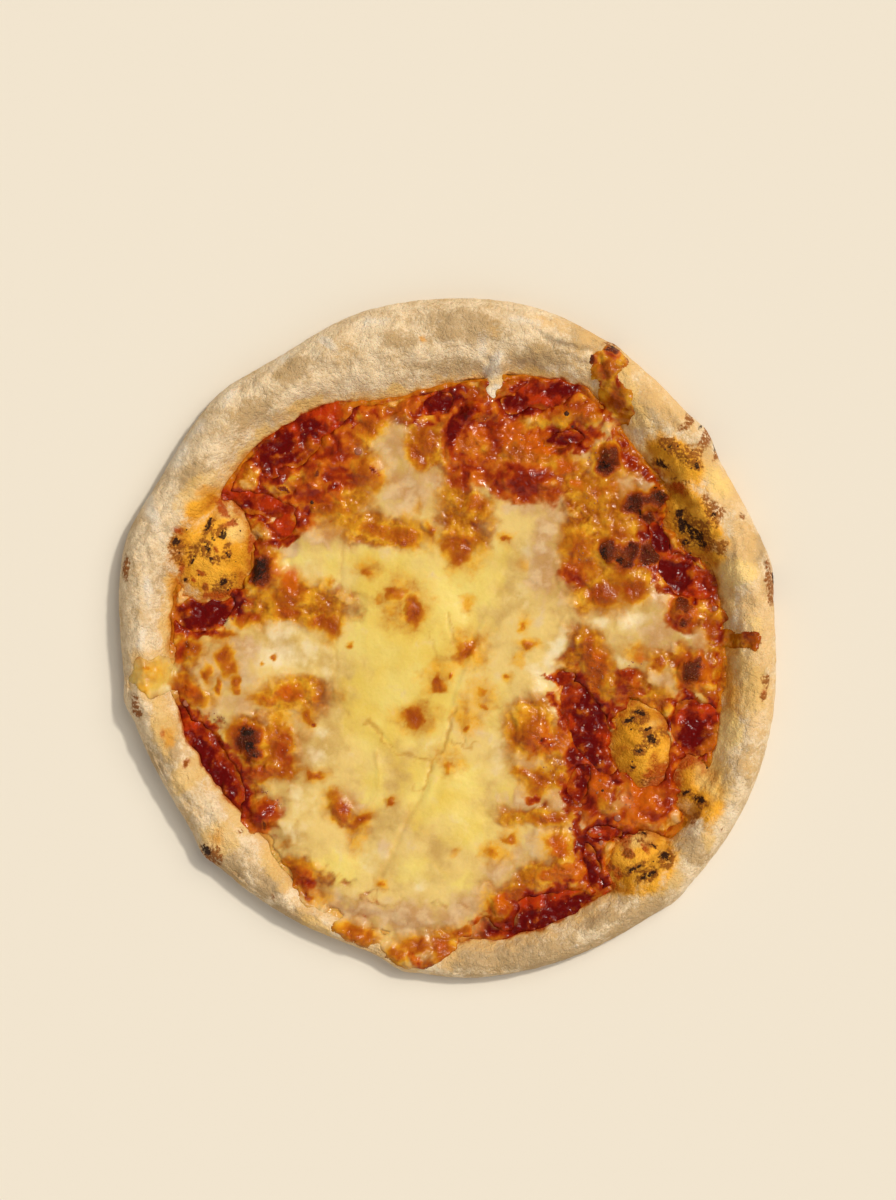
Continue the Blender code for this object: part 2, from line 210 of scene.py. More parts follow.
def near(x, y, ellipse, reach):
    """Which points lie within reach times the size of an ellipse. The rest is left out of the sums."""
    far = reach * max(ellipse[2:4])
    return np.flatnonzero((np.abs(x - ellipse[0]) < far) & (np.abs(y - ellipse[1]) < far))


def domes(x, y, ellipses):
    """The summed height of rounded domes that stand on ellipses."""
    height = np.zeros(x.size)
    for ellipse in ellipses:
        here = near(x, y, ellipse, 1.0)
        fall = np.clip(1.0 - distance_in_ellipse(x[here], y[here], ellipse) ** 2, 0.0, 1.0)
        height[here] += ellipse[5] * fall**1.5
    return height


def outside(x, y, ellipse):
    """About how many millimetres a point lies outside an ellipse. It is negative inside."""
    return (distance_in_ellipse(x, y, ellipse) - 1.0) * min(ellipse[2:4])


def patches(x, y, ellipses):
    """1 at the middle of any ellipse, 0.5 on its outline, 0 at twice its size. A sixth number weakens it."""
    best = np.zeros(x.size)
    for ellipse in ellipses:
        here = near(x, y, ellipse, 2.0)
        strength = ellipse[5] if len(ellipse) > 5 else 1.0
        value = strength * (1.0 - 0.5 * distance_in_ellipse(x[here], y[here], ellipse))
        best[here] = np.maximum(best[here], value)
    return best


def distance_to_line(x, y, points):
    """Millimetres from a bent line through points."""
    nearest = np.full(np.shape(x), np.inf)
    for (x0, y0), (x1, y1) in zip(points[:-1], points[1:]):
        dx, dy = x1 - x0, y1 - y0
        share = np.clip(((x - x0) * dx + (y - y0) * dy) / (dx * dx + dy * dy), 0.0, 1.0)
        nearest = np.minimum(nearest, np.hypot(x - x0 - share * dx, y - y0 - share * dy))
    return nearest


def strokes(x, y, lines):
    """The summed height of rounded ridges along lines, each with its rise and half-width. Grooves go down."""
    height = np.zeros(x.size)
    for points, rise, half_width in lines:
        low_x, low_y = np.min(points, 0) - 3 * half_width
        high_x, high_y = np.max(points, 0) + 3 * half_width
        here = np.flatnonzero((x > low_x) & (x < high_x) & (y > low_y) & (y < high_y))
        height[here] += rise * np.exp(-(distance_to_line(x[here], y[here], points) / half_width) ** 2)
    return height

# %% [markdown]
# ## Where things lie on this pizza
#
# The lists below are places read off the real pizza, in millimetres from its middle. Each is an
# ellipse, as x, y, half-length and half-width. A fifth number turns it, in degrees, and a sixth makes it
# weaker than full strength. Ellipses are a good shape for spots, because they are quick to place and the
# noise takes their neatness away.

# %% Small pools and islands that only the fine mesh has
FINE_POOLS = (
    (-88, 57, 5, 3), (-66, 45, 6, 4, 70), (85, 39, 7, 4, -70), (53, -58, 8, 4, 80), (58, -92, 10, 2.4, -72),
    (63, -78, 7, 3), (-4, 94, 7, 4, 25), (27, 94, 6, 3.5), (47, 80, 8, 3, 5), (47, -16, 4, 3),
    (104, -31, 4, 5, 60), (-106, -33, 6, 3, -60),
)
CHEESE_ISLANDS = (
    (-33, 66, 9, 8), (-62, 65, 6, 4), (21, -109, 8, 7, -30), (-74, -70, 9, 8, 40), (-55, -102, 5, 9, 40),
    (107, 8, 5, 6), (110, 1, 5, 4),
)

# %% Where the cheese changes colour
YELLOW = (
    (-117, -15, 9, 7, 0, 0.8), (-22, 8, 20, 30), (-22, -26, 20, 20), (-6, -14, 12, 30), (6, 22, 14, 16),
    (2, 4, 12, 20), (-2, -60, 16, 14), (8, -76, 12, 12, 20, 0.8), (-44, -92, 12, 9, 0, 0.8),
    (-13, -93, 10, 8, 0, 0.7), (5, -98, 12, 6, 0, 0.6), (-30, -58, 8, 14, 0, 0.7), (-60, 32, 10, 6, 0, 0.7),
    (-47, 28, 5, 12, 0, 0.7), (20, -30, 10, 20, 0, 0.6), (24, -62, 8, 14, 0, 0.6), (32, 4, 8, 12, 0, 0.4),
    (-50, -58, 10, 8, 0, 0.4), (-30, 30, 12, 8, 0, 0.8), (22, 36, 10, 8, 0, 0.6), (8, 66, 4, 6, 0, 0.6),
    (-18, 38, 8, 5, 0, 0.6), (-60, -8, 8, 5, 0, 0.4),
)
GLOW = (
    (-76, 42, 5, 11), (-80, 22, 5, 6), (90, 38, 5, 8, -35), (10, 96, 8, 4), (86, -27, 6, 4), (69, -38, 3, 5),
    (-50, 58, 18, 9), (-30, 44, 20, 6, -6), (-62, 13, 22, 8), (-52, 78, 22, 16), (-32, 88, 12, 8),
    (-9, 76, 7, 14, 15), (-10, 92, 14, 9), (10, 78, 14, 16), (34, 76, 20, 14), (46, 62, 14, 12),
    (62, 52, 20, 18), (58, 32, 14, 20), (74, 26, 14, 8), (78, 44, 8, 12), (56, 90, 16, 16), (68, 98, 7, 14, 10),
    (54, -8, 9, 14), (60, -20, 10, 10), (76, -20, 12, 8), (88, -6, 8, 5), (96, 12, 9, 9), (98, -13, 9, 9),
    (92, -26, 8, 4), (34, -37, 11, 12), (44, -54, 14, 8), (36, -70, 14, 5), (62, -60, 12, 12), (64, -75, 12, 8),
    (80, -64, 16, 12), (48, -84, 12, 10), (40, -95, 16, 8), (22, -106, 11, 9), (-4, -122, 10, 7),
    (-38, -119, 11, 5, -8), (-20, -128, 12, 5), (-62, -23, 14, 7), (-72, -46, 12, 11), (-78, -34, 8, 5),
    (-38, -70, 5, 9, 20, 0.7), (-59, -96, 6, 9, 40, 0.9), (-72, -70, 7, 5, 40), (-104, -10, 4, 14),
    (-100, -24, 8, 5, -20), (-90, -6, 6, 6, 0, 0.6), (10, -4, 5, 6, 0, 0.5), (44, 104, 12, 6), (24, 92, 10, 8),
    (66, -88, 6, 12), (108, 2, 6, 10), (-80, 12, 8, 6), (6, 50, 10, 14, 10, 0.9),
)
ORANGE = (
    (38, 78, 12, 5, -10), (26, 82, 8, 4, 0, 0.9), (46, 70, 5, 6, 0, 0.8), (14, 84, 6, 4, 0, 0.7),
    (60, -60, 7, 8, 0, 0.9), (52, 62, 5, 5, 0, 0.7), (56, 92, 7, 5, 0, 0.7), (44, -84, 6, 5, 0, 0.7),
    (60, -8, 4, 8, 0, 0.8), (-64, -22, 9, 4, 0, 0.7), (68, 34, 6, 5, 0, 0.6), (76, -64, 10, 8, 0, 0.9),
    (-64, 22, 5, 8, 0, 0.8), (-66, 12, 6, 4, 0, 0.6), (-53, -24, 4, 4, 0, 0.7), (-44, 56, 8, 3, 0, 0.7),
    (44, -44, 4, 5, 0, 0.6), (84, 46, 3, 6, 0, 0.7), (-106, -2, 3, 6, 0, 0.7), (-102, -22, 4, 3, 0, 0.7),
    (10, -4, 3, 3, 0, 0.7), (36, -96, 6, 5, 0, 0.7), (-2, -124, 6, 4, 0, 0.7), (52, -66, 4, 6, 0, 0.7),
    (66, 60, 5, 5, 0, 0.6), (-60, -96, 3, 5, 40, 0.6), (78, -8, 4, 3, 0, 0.7), (22, -104, 4, 3, 0, 0.7),
)
PINK = (
    (-12, -124, 14, 6), (-84, -4, 10, 8), (-16, 60, 12, 10), (-22, 78, 7, 8), (-26, 67, 4, 9), (-50, 42, 8, 5),
    (-64, 37, 4, 6), (-90, -12, 14, 10), (-84, -26, 12, 5, 0, 0.9), (-60, -34, 6, 6, 0, 0.7),
    (-97, -27, 8, 3, -25), (-48, -106, 12, 5, -20), (-34, -110, 10, 5), (-16, -112, 16, 8), (-12, -122, 8, 5),
    (0, -112, 8, 5), (10, -106, 10, 6, 30), (20, -92, 7, 8, 0, 0.8), (30, -64, 7, 5), (28, -86, 6, 6, 0, 0.8),
    (38, -82, 7, 6), (46, -66, 5, 5), (52, -76, 4, 6), (50, -92, 4, 4, 0, 0.8), (4, -37, 4, 5, 0, 0.5),
    (38, 28, 7, 13), (40, 46, 5, 12, -20), (32, 52, 10, 4, 0, 0.8), (45, 20, 4, 8, 0, 0.7),
    (47, -26, 4, 6, 0, 0.6), (70, 0, 6, 4, 0, 0.8), (84, 2, 8, 8), (86, 16, 6, 5, -50), (102, -2, 4, 6),
    (86, -16, 6, 4), (95, -23, 4, 3), (68, -50, 4, 5, 0, 0.7), (71, -65, 3, 6, 60), (68, -72, 3, 3),
    (58, 80, 7, 3), (52, 74, 4, 4), (63, 86, 4, 5, 30), (80, 62, 5, 4), (71, 62, 4, 5), (-6, 65, 3.5, 4),
    (-36, 75, 2.5, 2.5), (33, -50, 7, 3, -20), (-38, -66, 5, 8, 30, 0.8), (-26, -82, 8, 4, 20, 0.5),
    (-70, 44, 3, 5, 0, 0.8), (66, 76, 6, 2.5, -40, 0.8), (-66, -68, 4, 4, 0, 0.7), (14, -40, 4, 8, 0, 0.5),
)
# Pale cheese, and painted highlight: some of these spots, such as those at (-97, -27), (-68, -36) and (43, -4), are
# whitish patches painted where the wet cheese glints.
WHITE_AND_HIGHLIGHTS = (
    (-5, 63, 3, 4), (-112, -20, 4, 3, 20, 0.8), (-68, -6, 16, 8, 0, 0.8), (-80, -16, 10, 5, 0, 0.7),
    (-97, -27, 8, 2.5, -30), (-68, -36, 7, 4, -35), (-48, -12, 4, 14, 0, 0.6), (45, -28, 4, 4),
    (43, -4, 3, 8, -30), (60, 6, 6, 4, 0, 0.8), (36, -14, 6, 8, 0, 0.7), (74, 8, 9, 6, 0, 0.8),
    (96, 1.5, 5, 1.5), (70, -9, 6, 3, 0, 0.8), (5, -78, 6, 12, -30, 0.5), (-10, -98, 8, 4, 0, 0.6),
    (-66, 2, 10, 4, 0, 0.8), (-66, -14, 8, 4, 0, 0.6), (-55, -46, 10, 7, 0, 0.7), (-50, -38, 6, 5, 0, 0.7),
    (-60, -64, 8, 8, 0, 0.6), (32, 34, 8, 8, 0, 0.6), (30, 18, 8, 10, 0, 0.5), (20, -44, 7, 12, 0, 0.6),
    (-62, -78, 7, 8, 0, 0.5), (-30, -88, 8, 7, 0, 0.5), (-72, 30, 3, 4, 0, 0.8), (64, 66, 4, 4, 0, 0.5),
    (10, -36, 4, 8, 0, 0.5), (-8, -42, 8, 4, 20, 0.5), (34, -86, 4, 4, 0, 0.5), (-56, 28, 5, 6, 0, 0.6),
    (24, -88, 5, 6, 0, 0.4), (76, 14, 5, 5, 0, 0.6), (14, -52, 8, 6, 0, 0.4),
)
CALM = (
    (-64, -86, 12, 14, -50), (-46, -108, 14, 8, -30), (-18, -116, 22, 8), (-66, -62, 8, 8), (4, -114, 8, 5),
    (-117, -15, 12, 9), (20, -108, 6.5, 5.5, -30),
)
GOLD = (
    (0, 62, 6, 9, 10), (6, 52, 13, 7), (6, 36, 9, 11, 10), (-9, 78, 7, 11, 20), (-52, 53, 16, 5),
    (-38, 56, 9, 5), (-44, 46, 14, 5, -8), (-30, 45, 12, 6, -12), (-17, 42, 9, 7), (-7, 42, 4, 7),
    (-32, 28, 7, 4, 0, 0.9), (-28, 16, 2.5, 2), (-18, 14, 10, 11), (-62, 16, 13, 10), (-46, 8, 6, 8),
    (-76, 10, 10, 6, 10), (-65, -22, 15, 8), (-56, -31, 5, 5), (-72, -46, 14, 14), (-53, -55, 6, 3),
    (-44, -68, 6, 8, 20), (-36, -73, 4, 8, -60), (-60, -95, 8, 9, 40), (-66, -82, 4, 2), (-27, -99, 3, 3),
    (-36, -82, 5, 5, 0, 0.8), (0, -50, 7, 6, 0, 0.9), (-22, -66, 3, 3), (3, -85, 3, 2), (8, -31, 6, 9),
    (14, -24, 6, 8, 20), (-4, -15, 6, 9, -30), (8, -4, 9, 9, 30), (8, 14, 3, 4), (-13, -32, 9, 7),
    (32, -3, 5, 3), (29, -8, 3, 4), (24, -16, 2.5, 2), (30, 6, 4, 5, 0, 0.8), (23, 40, 4, 4),
    (30, 30, 3, 3, 0, 0.8), (30, -53, 7, 4, -10), (36, -57, 10, 7, -10), (45, -53, 8, 6, -50),
    (33, -38, 11, 12, 10), (45, -41, 8, 8), (27, -73, 6, 4), (42, -72, 11, 4), (25, -80, 4, 4), (19, -86, 7, 5),
    (44, -83, 8, 8), (34, -95, 8, 6), (44, -95, 11, 6), (28, -103, 8, 6), (20, -108, 9, 8), (63, -62, 8, 9),
    (58, -10, 8, 16, 10), (65, 18, 15, 8), (55, 32, 10, 16), (66, 46, 14, 16), (60, 60, 12, 8), (70, 68, 8, 5),
    (55, 90, 14, 10), (62, 98, 12, 6), (44, 90, 10, 8), (30, 76, 14, 8, -10), (26, 84, 8, 4), (48, 70, 8, 8),
    (9, 78, 10, 8), (62, 108, 10, 6, 30), (67, 95, 6, 10, 20), (84, -9, 6, 5), (85, -25, 9, 7), (76, -6, 7, 4),
    (78, -28, 6, 4), (106, 6, 5, 8), (110, -2, 8, 4), (-73, 63, 5, 5), (-62, 66, 5, 4), (-33, 66, 10, 9),
    (-32, 85, 9, 7), (-38, -119, 12, 6, -8), (-20, -127, 7, 6), (-2, -124, 9, 8), (6, -118, 8, 4),
    (70, 30, 12, 8), (72, -20, 9, 9), (78, 22, 6, 5), (-103, -5, 7, 6), (-100, -24, 8, 5, -30), (-90, 1, 6, 4),
    (-89, -8, 6, 5, -30), (-96, -15, 3, 5), (-92, -20, 3, 3), (-85, -20, 3, 3), (-119, -13, 8, 6, 0, 0.9),
    (-121, -20, 4, 3), (94, 12, 8, 9), (98, -13, 9, 9), (50, -24, 7, 6), (112, 0, 6, 5), (88, 30, 8, 10),
    (-52, -102, 6, 6), (-12, 52, 3, 4, 0, 0.7),
)
AMBER = (
    (-72, 26, 5, 9), (-88, -11, 4, 4), (-97, -14, 2, 4), (-92, -19, 2, 3), (-85, -18, 2, 3), (-106, -20, 5, 6),
    (-14, -123, 9, 4, 0, 0.9), (5, 36, 7, 8, 20), (12, 53, 6, 5), (-9, 80, 6, 8, 20), (-13, 74, 4, 7, 20),
    (-50, 52, 12, 3), (-30, 44, 9, 4, -12), (-17, 41, 7, 4.5, -10), (-7, 44, 2.5, 2.5), (-14, 11, 4, 6, 10),
    (-21, 18, 5, 3, 0, 0.9), (-64, 17, 9, 7), (-64, 10, 10, 3.5), (-52, 7, 6, 4, -20), (-46, 5, 4, 4),
    (-79, 8, 7, 3, 10), (-74, -25, 6, 3), (-62, -22, 10, 4), (-56, -31, 3, 3), (-68, -42, 6, 12),
    (-72, -54, 12, 4, 5), (-85, -38, 4, 6, -30), (-53, -55, 4, 1.8), (-44, -68, 4, 7, 20),
    (-35, -73, 2.5, 6, -65), (-60, -95, 6, 7, 40), (-27, -99, 1.8, 1.8, 0, 0.8), (-22, -66, 2, 2),
    (-4, -18, 4, 3, -50), (7, -5, 6, 4, 30), (-14, -32, 5, 4, -20), (32, -3, 2.6, 1.6),
    (24, -16, 1.6, 1.4, 0, 0.8), (8, -36, 2.5, 1.6, 0, 0.8), (23, 40, 2.5, 2.2), (14, -22, 2.5, 3, 20, 0.8),
    (15, -27, 2.5, 2.5, 0, 0.8), (30, -53, 5, 2.6, -10), (36, -58, 6, 5, -10), (46, -57, 4, 4),
    (33, -38, 9, 10, 10), (45, -41, 6, 6), (41, -72, 10, 3), (25, -80, 2.8, 2.6), (18, -86, 4, 4, 0, 0.8),
    (45, -83, 6, 6), (46, -95, 10, 5), (28, -103, 6, 5), (20, -108, 6, 6), (62, -60, 6, 7),
    (60, -14, 6, 11, 10), (55, -4, 4, 8), (62, 18, 9, 5), (74, 20, 7, 6), (54, 34, 8, 12),
    (68, 42, 8, 7, 0, 0.8), (58, 58, 8, 6, 0, 0.8), (56, 91, 9, 7), (44, 92, 8, 7), (30, 74, 12, 6, -10),
    (48, 69, 7, 5), (9, 78, 8, 6), (62, 108, 8, 4, 30), (67, 95, 4, 9, 20), (84, -10, 4, 3), (85, -26, 7, 4),
    (106, 5, 4, 7), (-33, 66, 8, 7), (-32, 85, 7, 5), (-73, 62, 3, 3, 0, 0.8), (-38, -119, 9, 4, -8),
    (-20, -127, 5, 4), (-2, -124, 6, 6), (5, -118, 6, 2.5), (72, -20, 7, 7), (-104, -4, 5, 4),
    (-101, -24, 6, 4, -30), (-89, -8, 5, 4, -30), (-90, 1.5, 5, 2), (-97, -15, 1.6, 3), (-92, -20, 2, 2),
    (-85, -21, 2, 2), (94, 12, 6, 7), (98, -13, 7.5, 7.5), (70, 30, 9, 6), (88, 28, 6, 8), (50, -24, 5, 5),
    (-121, -11, 2, 2, 0, 0.7), (-48, 22, 2, 4, 0, 0.6), (-39, -4, 1.4, 1.4, 0, 0.8),
    (-69, -7, 1.1, 0.9, 0, 0.9), (-73, -10, 0.9, 0.6, 0, 0.8), (-32, 27, 4, 2.5, 0, 0.8),
    (0, -52, 2.5, 3, 0, 0.8), (29, 5, 1.8, 3, 0, 0.8),
)
RUST = (
    (-50, 76, 13, 11), (-46, 66, 9, 7), (-56, 58, 10, 5), (-60, 48, 8, 5), (-30, 90, 6, 4, 0, 0.8),
    (16, 84, 14, 9, 20), (10, 69, 9, 8), (2, 80, 4, 12), (12, 91, 9, 6, 20), (30, 63, 15, 8, -8),
    (22, 88, 8, 6, 30), (42, 79, 9, 4, 5), (42, 95, 12, 6, 10), (-14, 95, 6, 4, 40, 0.9),
    (55, 91, 4, 2, 0, 0.8), (51, -18, 6, 5), (50, 26, 6, 6, 0, 0.8), (60, 18, 5, 2.5, 0, 0.7), (60, -50, 6, 8),
    (72, -75, 9, 6), (57, -66, 4, 9), (50, -94, 10, 4), (60, -92, 5, 10, 20), (86, -56, 12, 9),
    (84, -68, 11, 6), (94, -47, 7, 6), (38, -40, 7, 6, 0, 0.9), (47, -38, 5, 8, 0, 0.8), (34, -64, 3, 1.6, 20),
    (44, -84, 5, 4, 0, 0.8), (42, -72, 8, 2, 0, 0.7), (21, -107, 4, 4, 0, 0.9), (-13, -129, 2, 5, 20),
    (-74, -71, 7, 6, 40), (-58, -97, 4, 6, 40, 0.9), (-66, -44, 4, 9, 0, 0.7), (-77, -54, 8, 3, 5, 0.9),
    (-79, 8, 5, 2, 10, 0.8), (-64, 10, 6, 2, 0, 0.7), (-107, -5, 3, 4, 0, 0.9), (94, 11, 6, 7),
    (98, -13, 7, 7.5), (72, -20, 5.5, 6), (72, -14, 6, 3, 0, 0.9), (104, 6, 2, 5, 0, 0.7), (73, 71, 5, 3, -40),
    (80, 66, 6, 2, -40), (86, 60, 4, 3, -50), (84, 44, 6, 8), (72, 19, 3, 1.6, 0, 0.7),
    (-43, -69, 2, 5, 10, 0.8), (-37, 93, 5, 3), (12, 56, 3, 2.4, 0, 0.6), (6, 40, 5, 2, 0, 0.6),
    (62, 101, 4, 2, 20, 0.5), (57, 111, 3, 3, 20), (66, 115, 3, 3), (69, 104, 1.2, 4, -10, 0.9),
    (-104, -20, 4, 3, 0, 0.8),
)
WINE = (
    (-70, 74, 6, 6, 40), (-64, 77, 6, 4, 40, 0.8), (-46, 60, 3, 3), (-49, 63, 3, 2, 0, 0.8), (2, 82, 2.2, 11),
    (-4, 95, 7, 4, 25), (8, 90, 8, 3, 15), (43, 79, 8, 3, 5), (45, 100, 8, 4, 10), (30, 92, 4, 3),
    (53, -23, 5, 6, -60), (48, -18, 3, 3), (56, -46, 8, 7), (53, -57, 4, 5), (63, -78, 6, 2.5),
    (56, -88, 1.6, 7, 15), (48, -97, 6, 2, -10, 0.8), (98, -38, 7, 8), (38, -41, 2, 2.4),
    (24, 67, 3, 4, 0, 0.7), (37, 66, 3, 2, 0, 0.6), (98, -17, 5, 3, 0, 0.7), (93, 8, 4, 4, 0, 0.7),
    (70, -21, 3, 3, 0, 0.8), (-74, -74, 3, 4, 0, 0.8), (12, 66, 4, 3, 0, 0.6), (6, 67, 3, 4, 0, 0.6),
)
BROWN = (
    (-75, 27, 4.5, 7), (98, -13, 6, 6.5, 0, 0.9), (65, 74, 4.5, 5), (63, 69, 3.5, 4), (75, 54, 4, 5, -30),
    (84, 56, 6, 5), (80, 48, 3, 4, -60, 0.9), (64, 35, 4, 4.5), (69, 33.5, 4, 3, -10), (74, 35, 3, 5, -30),
    (72, 30, 3, 2.4), (82, 34, 5, 5), (94.5, 13, 4, 4), (95, 7, 3, 3, 0, 0.9), (98, -11, 5, 5),
    (97, -16, 4, 3, 0, 0.9), (-80, -40, 6, 6, -60), (-78, -46, 4, 4), (-15, 11, 1.6, 3.6, 10, 0.55),
    (-14, -32, 3, 1.6, -40, 0.55), (-18, 39, 4, 2.4, -10, 0.6), (57, 111, 2.4, 2, 20, 0.9), (66, 116, 3, 2),
    (15, 89, 5, 2.6, 20, 0.7), (-29, 68, 1, 3, 40, 0.9), (-74, -74, 2.4, 4, 0, 0.8), (-48, 62, 3, 2, 0, 0.7),
    (-53, 66, 2, 2, 0, 0.7), (12, -4, 2.2, 2, 0, 0.5), (1, -15, 1, 1.4, 0, 0.6), (-54, -34, 1.3, 0.9, -30, 0.8),
    (71, -24, 3, 2, 0, 0.7), (36, -40, 2.4, 1.6, 0, 0.6), (-66, 60, 3, 0.8, -40, 0.9),
    (-40, 63, 3, 1.2, -20, 0.6), (23, 39, 1.4, 1.2, 0, 0.7), (-59, -97, 3, 1.6, -40, 0.6),
    (-56, -103, 1.4, 3, 20, 0.7), (-12, -129, 1.4, 3, 20, 0.6),
)
CHAR = (
    (-75.5, 28, 2.2, 4.5), (63, 70, 2, 2, 0, 0.9), (85, 57, 2.8, 2.4, -30), (83, 60, 2, 1, 0, 0.8),
    (77, 50, 3, 1.2, -60, 0.8), (74, 53, 1, 2.4, -20, 0.8), (62, 34, 1.6, 2.6, 0, 0.9),
    (68, 32, 1.6, 1, 0, 0.9), (74, 38, 1, 2, 0, 0.8), (79, 30, 2, 1, 0, 0.8), (95, 11, 1.4, 1, 0, 0.6),
    (100, -12, 2, 2, 0, 0.8), (-81, -37, 2, 3.4, -70, 0.9), (-79, -44, 3, 2.6, -60, 0.9),
    (-77, -48, 2, 1, 0, 0.8), (47.5, 90, 0.7, 0.7), (-54.5, 54.7, 0.5, 0.4), (38, -41, 1, 1.6, 0, 0.7),
    (65, 117, 3, 0.8, 10, 0.8), (16.5, 98, 1, 3, 20, 0.9),
)


# %% Where the bare dough changes colour
# Tan from baking. The long ones along the bottom of the rim are also painted shade, on the side turned away from the
# light.
TAN_AND_SHADE = (
    (30, -127, 34, 7, 4), (76, -112, 16, 6, 32, 0.9), (-64, -112, 12, 6, -45, 0.9), (4, 108, 24, 5, 0, 0.8),
    (5, 125, 14, 7), (-20, 119, 8, 5, 0, 0.8), (36, 112, 10, 6), (-60, 108, 10, 6, 30, 0.9),
    (-78, 90, 8, 6, 40), (-102, 66, 8, 5, 40), (58, 119, 10, 5, -20), (82, 92, 10, 6, -40),
    (100, 72, 9, 6, -40), (123, 36, 4, 7), (127, 20, 3, 7, 0, 0.8), (124, -16, 4, 6), (-112, -40, 5, 10, 20),
    (-88, -90, 8, 6, -40), (-72, -98, 8, 6, -50), (-60, -112, 6, 5, -40), (20, -128, 14, 5, 5, 0.7),
    (60, -112, 14, 5, 30, 0.8), (98, -84, 8, 8, 40, 0.9), (118, -50, 5, 14, 0, 0.7), (-20, 128, 10, 3, 0, 0.6),
    (-114, 22, 4, 12, 0, 0.7), (-118, -50, 4, 8, 20, 0.8), (112, 34, 5, 8, 10),
)
WARM = (
    (124, 4, 9, 22), (112, 60, 9, 14, 40), (88, 96, 16, 9, -45), (70, 112, 10, 8, -40), (124, -24, 8, 14),
    (60, 120, 12, 6, -20, 0.8), (118, 38, 6, 10), (106, 70, 7, 10, 40, 0.8), (40, 126, 12, 4, -15, 0.8),
    (-112, 18, 4, 12, 0, 0.7), (120, -48, 6, 12, 10, 0.6),
)
GOLDEN = (
    (-92, 33, 18, 15, 80), (-100, 54, 7, 6, 20), (-110, 6, 4.5, 18), (-114, -34, 4, 10, 10),
    (-103, -54, 5, 8, -50), (-91, -80, 7, 6), (-97, 61, 7, 4, 20), (-79, 74, 4, 7, -35), (90, 70, 13, 8, -35),
    (97, 46, 17, 9, -62), (78, -43, 17, 12, -82), (103, -58, 14, 9, -80), (77, -88, 14, 12, 40),
    (117, -20, 9, 10), (112, -6, 5, 8), (111, 15, 3.5, 9), (107, 30, 4, 6), (76, 88, 5, 7, 45, 0.8),
    (71, 104, 3, 10, 20), (32, 105, 14, 2.6, 5, 0.9), (12, 103, 5, 2.5), (-53, -116, 6, 3, -40),
    (-68, -92, 4, 8, 40), (-84, -72, 3, 6, 30), (-20, 99, 4, 2.4, -20), (-57, 94, 8, 2, 25, 0.8),
    (-75, 82, 2, 5, -40, 0.8), (90, -96, 4, 5, 30, 0.8), (104, -80, 3, 5, 10, 0.8),
)
OCHRE = (
    (113, -24, 5, 12, 0, 0.8), (109, -2, 4, 6, 0, 0.8), (116, 4, 3, 5, 0, 0.6), (-84, 33, 6, 9, 0, 0.9),
    (-84, 24, 7, 4, 0, 0.8), (-107, 35, 4, 8, 0, 0.9), (-110, 14, 2.5, 12, 0, 0.9), (-110, -6, 2, 6, 0, 0.8),
    (-112, -40, 2.5, 5, 20, 0.9), (-92, -80, 4, 4, 0, 0.8), (86, 76, 8, 4, -35, 0.9), (92, 58, 5, 5, 0, 0.8),
    (90, 44, 5, 9, 0, 0.9), (98, 36, 8, 5, 0, 0.9), (72, -43, 6, 14), (82, -32, 7, 4, 0, 0.9), (74, -56, 6, 6),
    (97, -66, 6, 7), (94, -58, 4, 8, 0, 0.9), (70, -96, 8, 5, 0, 0.8), (79, -82, 8, 4, 0, 0.7),
    (112, -16, 3, 8, 0, 0.9), (113, -3, 3, 5, 0, 0.9), (-96, 59, 5, 3, 0, 0.9), (108, 22, 2, 7, 0, 0.8),
    (71, 96, 2, 8, 20, 0.8), (-10.5, 119.5, 1.6, 1.3),
)
REDDENED = (
    (-90, 52, 1.6, 4, 15), (-88, 45, 4, 1.2, 15), (-86, 46, 1.6, 1.4), (-93, 36, 1.4, 2), (-99, 26, 1.6, 1.4),
    (-102, 23, 1.2, 1.2), (-97, 20, 1.4, 2), (-97, 17, 1.6, 1.2), (-108, 43, 3, 2, 0, 0.8),
    (-107, 28, 1.6, 4, 0, 0.8), (-90, 18, 8, 2, 10, 0.9), (-79, 38, 1.6, 5), (70, -61, 3, 2, 0, 0.9),
    (72, -86, 2.4, 2.4), (79, -84, 1.2, 3, 30), (68, -94, 2, 3), (66, -99, 1.6, 2, 0, 0.8),
    (92, 60, 5, 3, -40, 0.8), (84, 66, 4, 3, -40, 0.8), (98, 28, 3, 2, 0, 0.8), (-114, -38, 1.5, 3, 0, 0.7),
    (-105, -50, 1.5, 3, -40, 0.8), (86, -56, 8, 8), (84, -68, 8, 5), (94, -48, 6, 5), (70, -78, 5, 5),
    (88, -78, 3, 5, 0, 0.8), (64, -88, 3, 9, 0, 0.8), (126, -22, 2, 3, 0, 0.6), (108, -26, 3, 4, 0, 0.7),
    (104, 36, 1.6, 5, 20, 0.7), (88, 36, 2.4, 8, 0, 0.9),
)
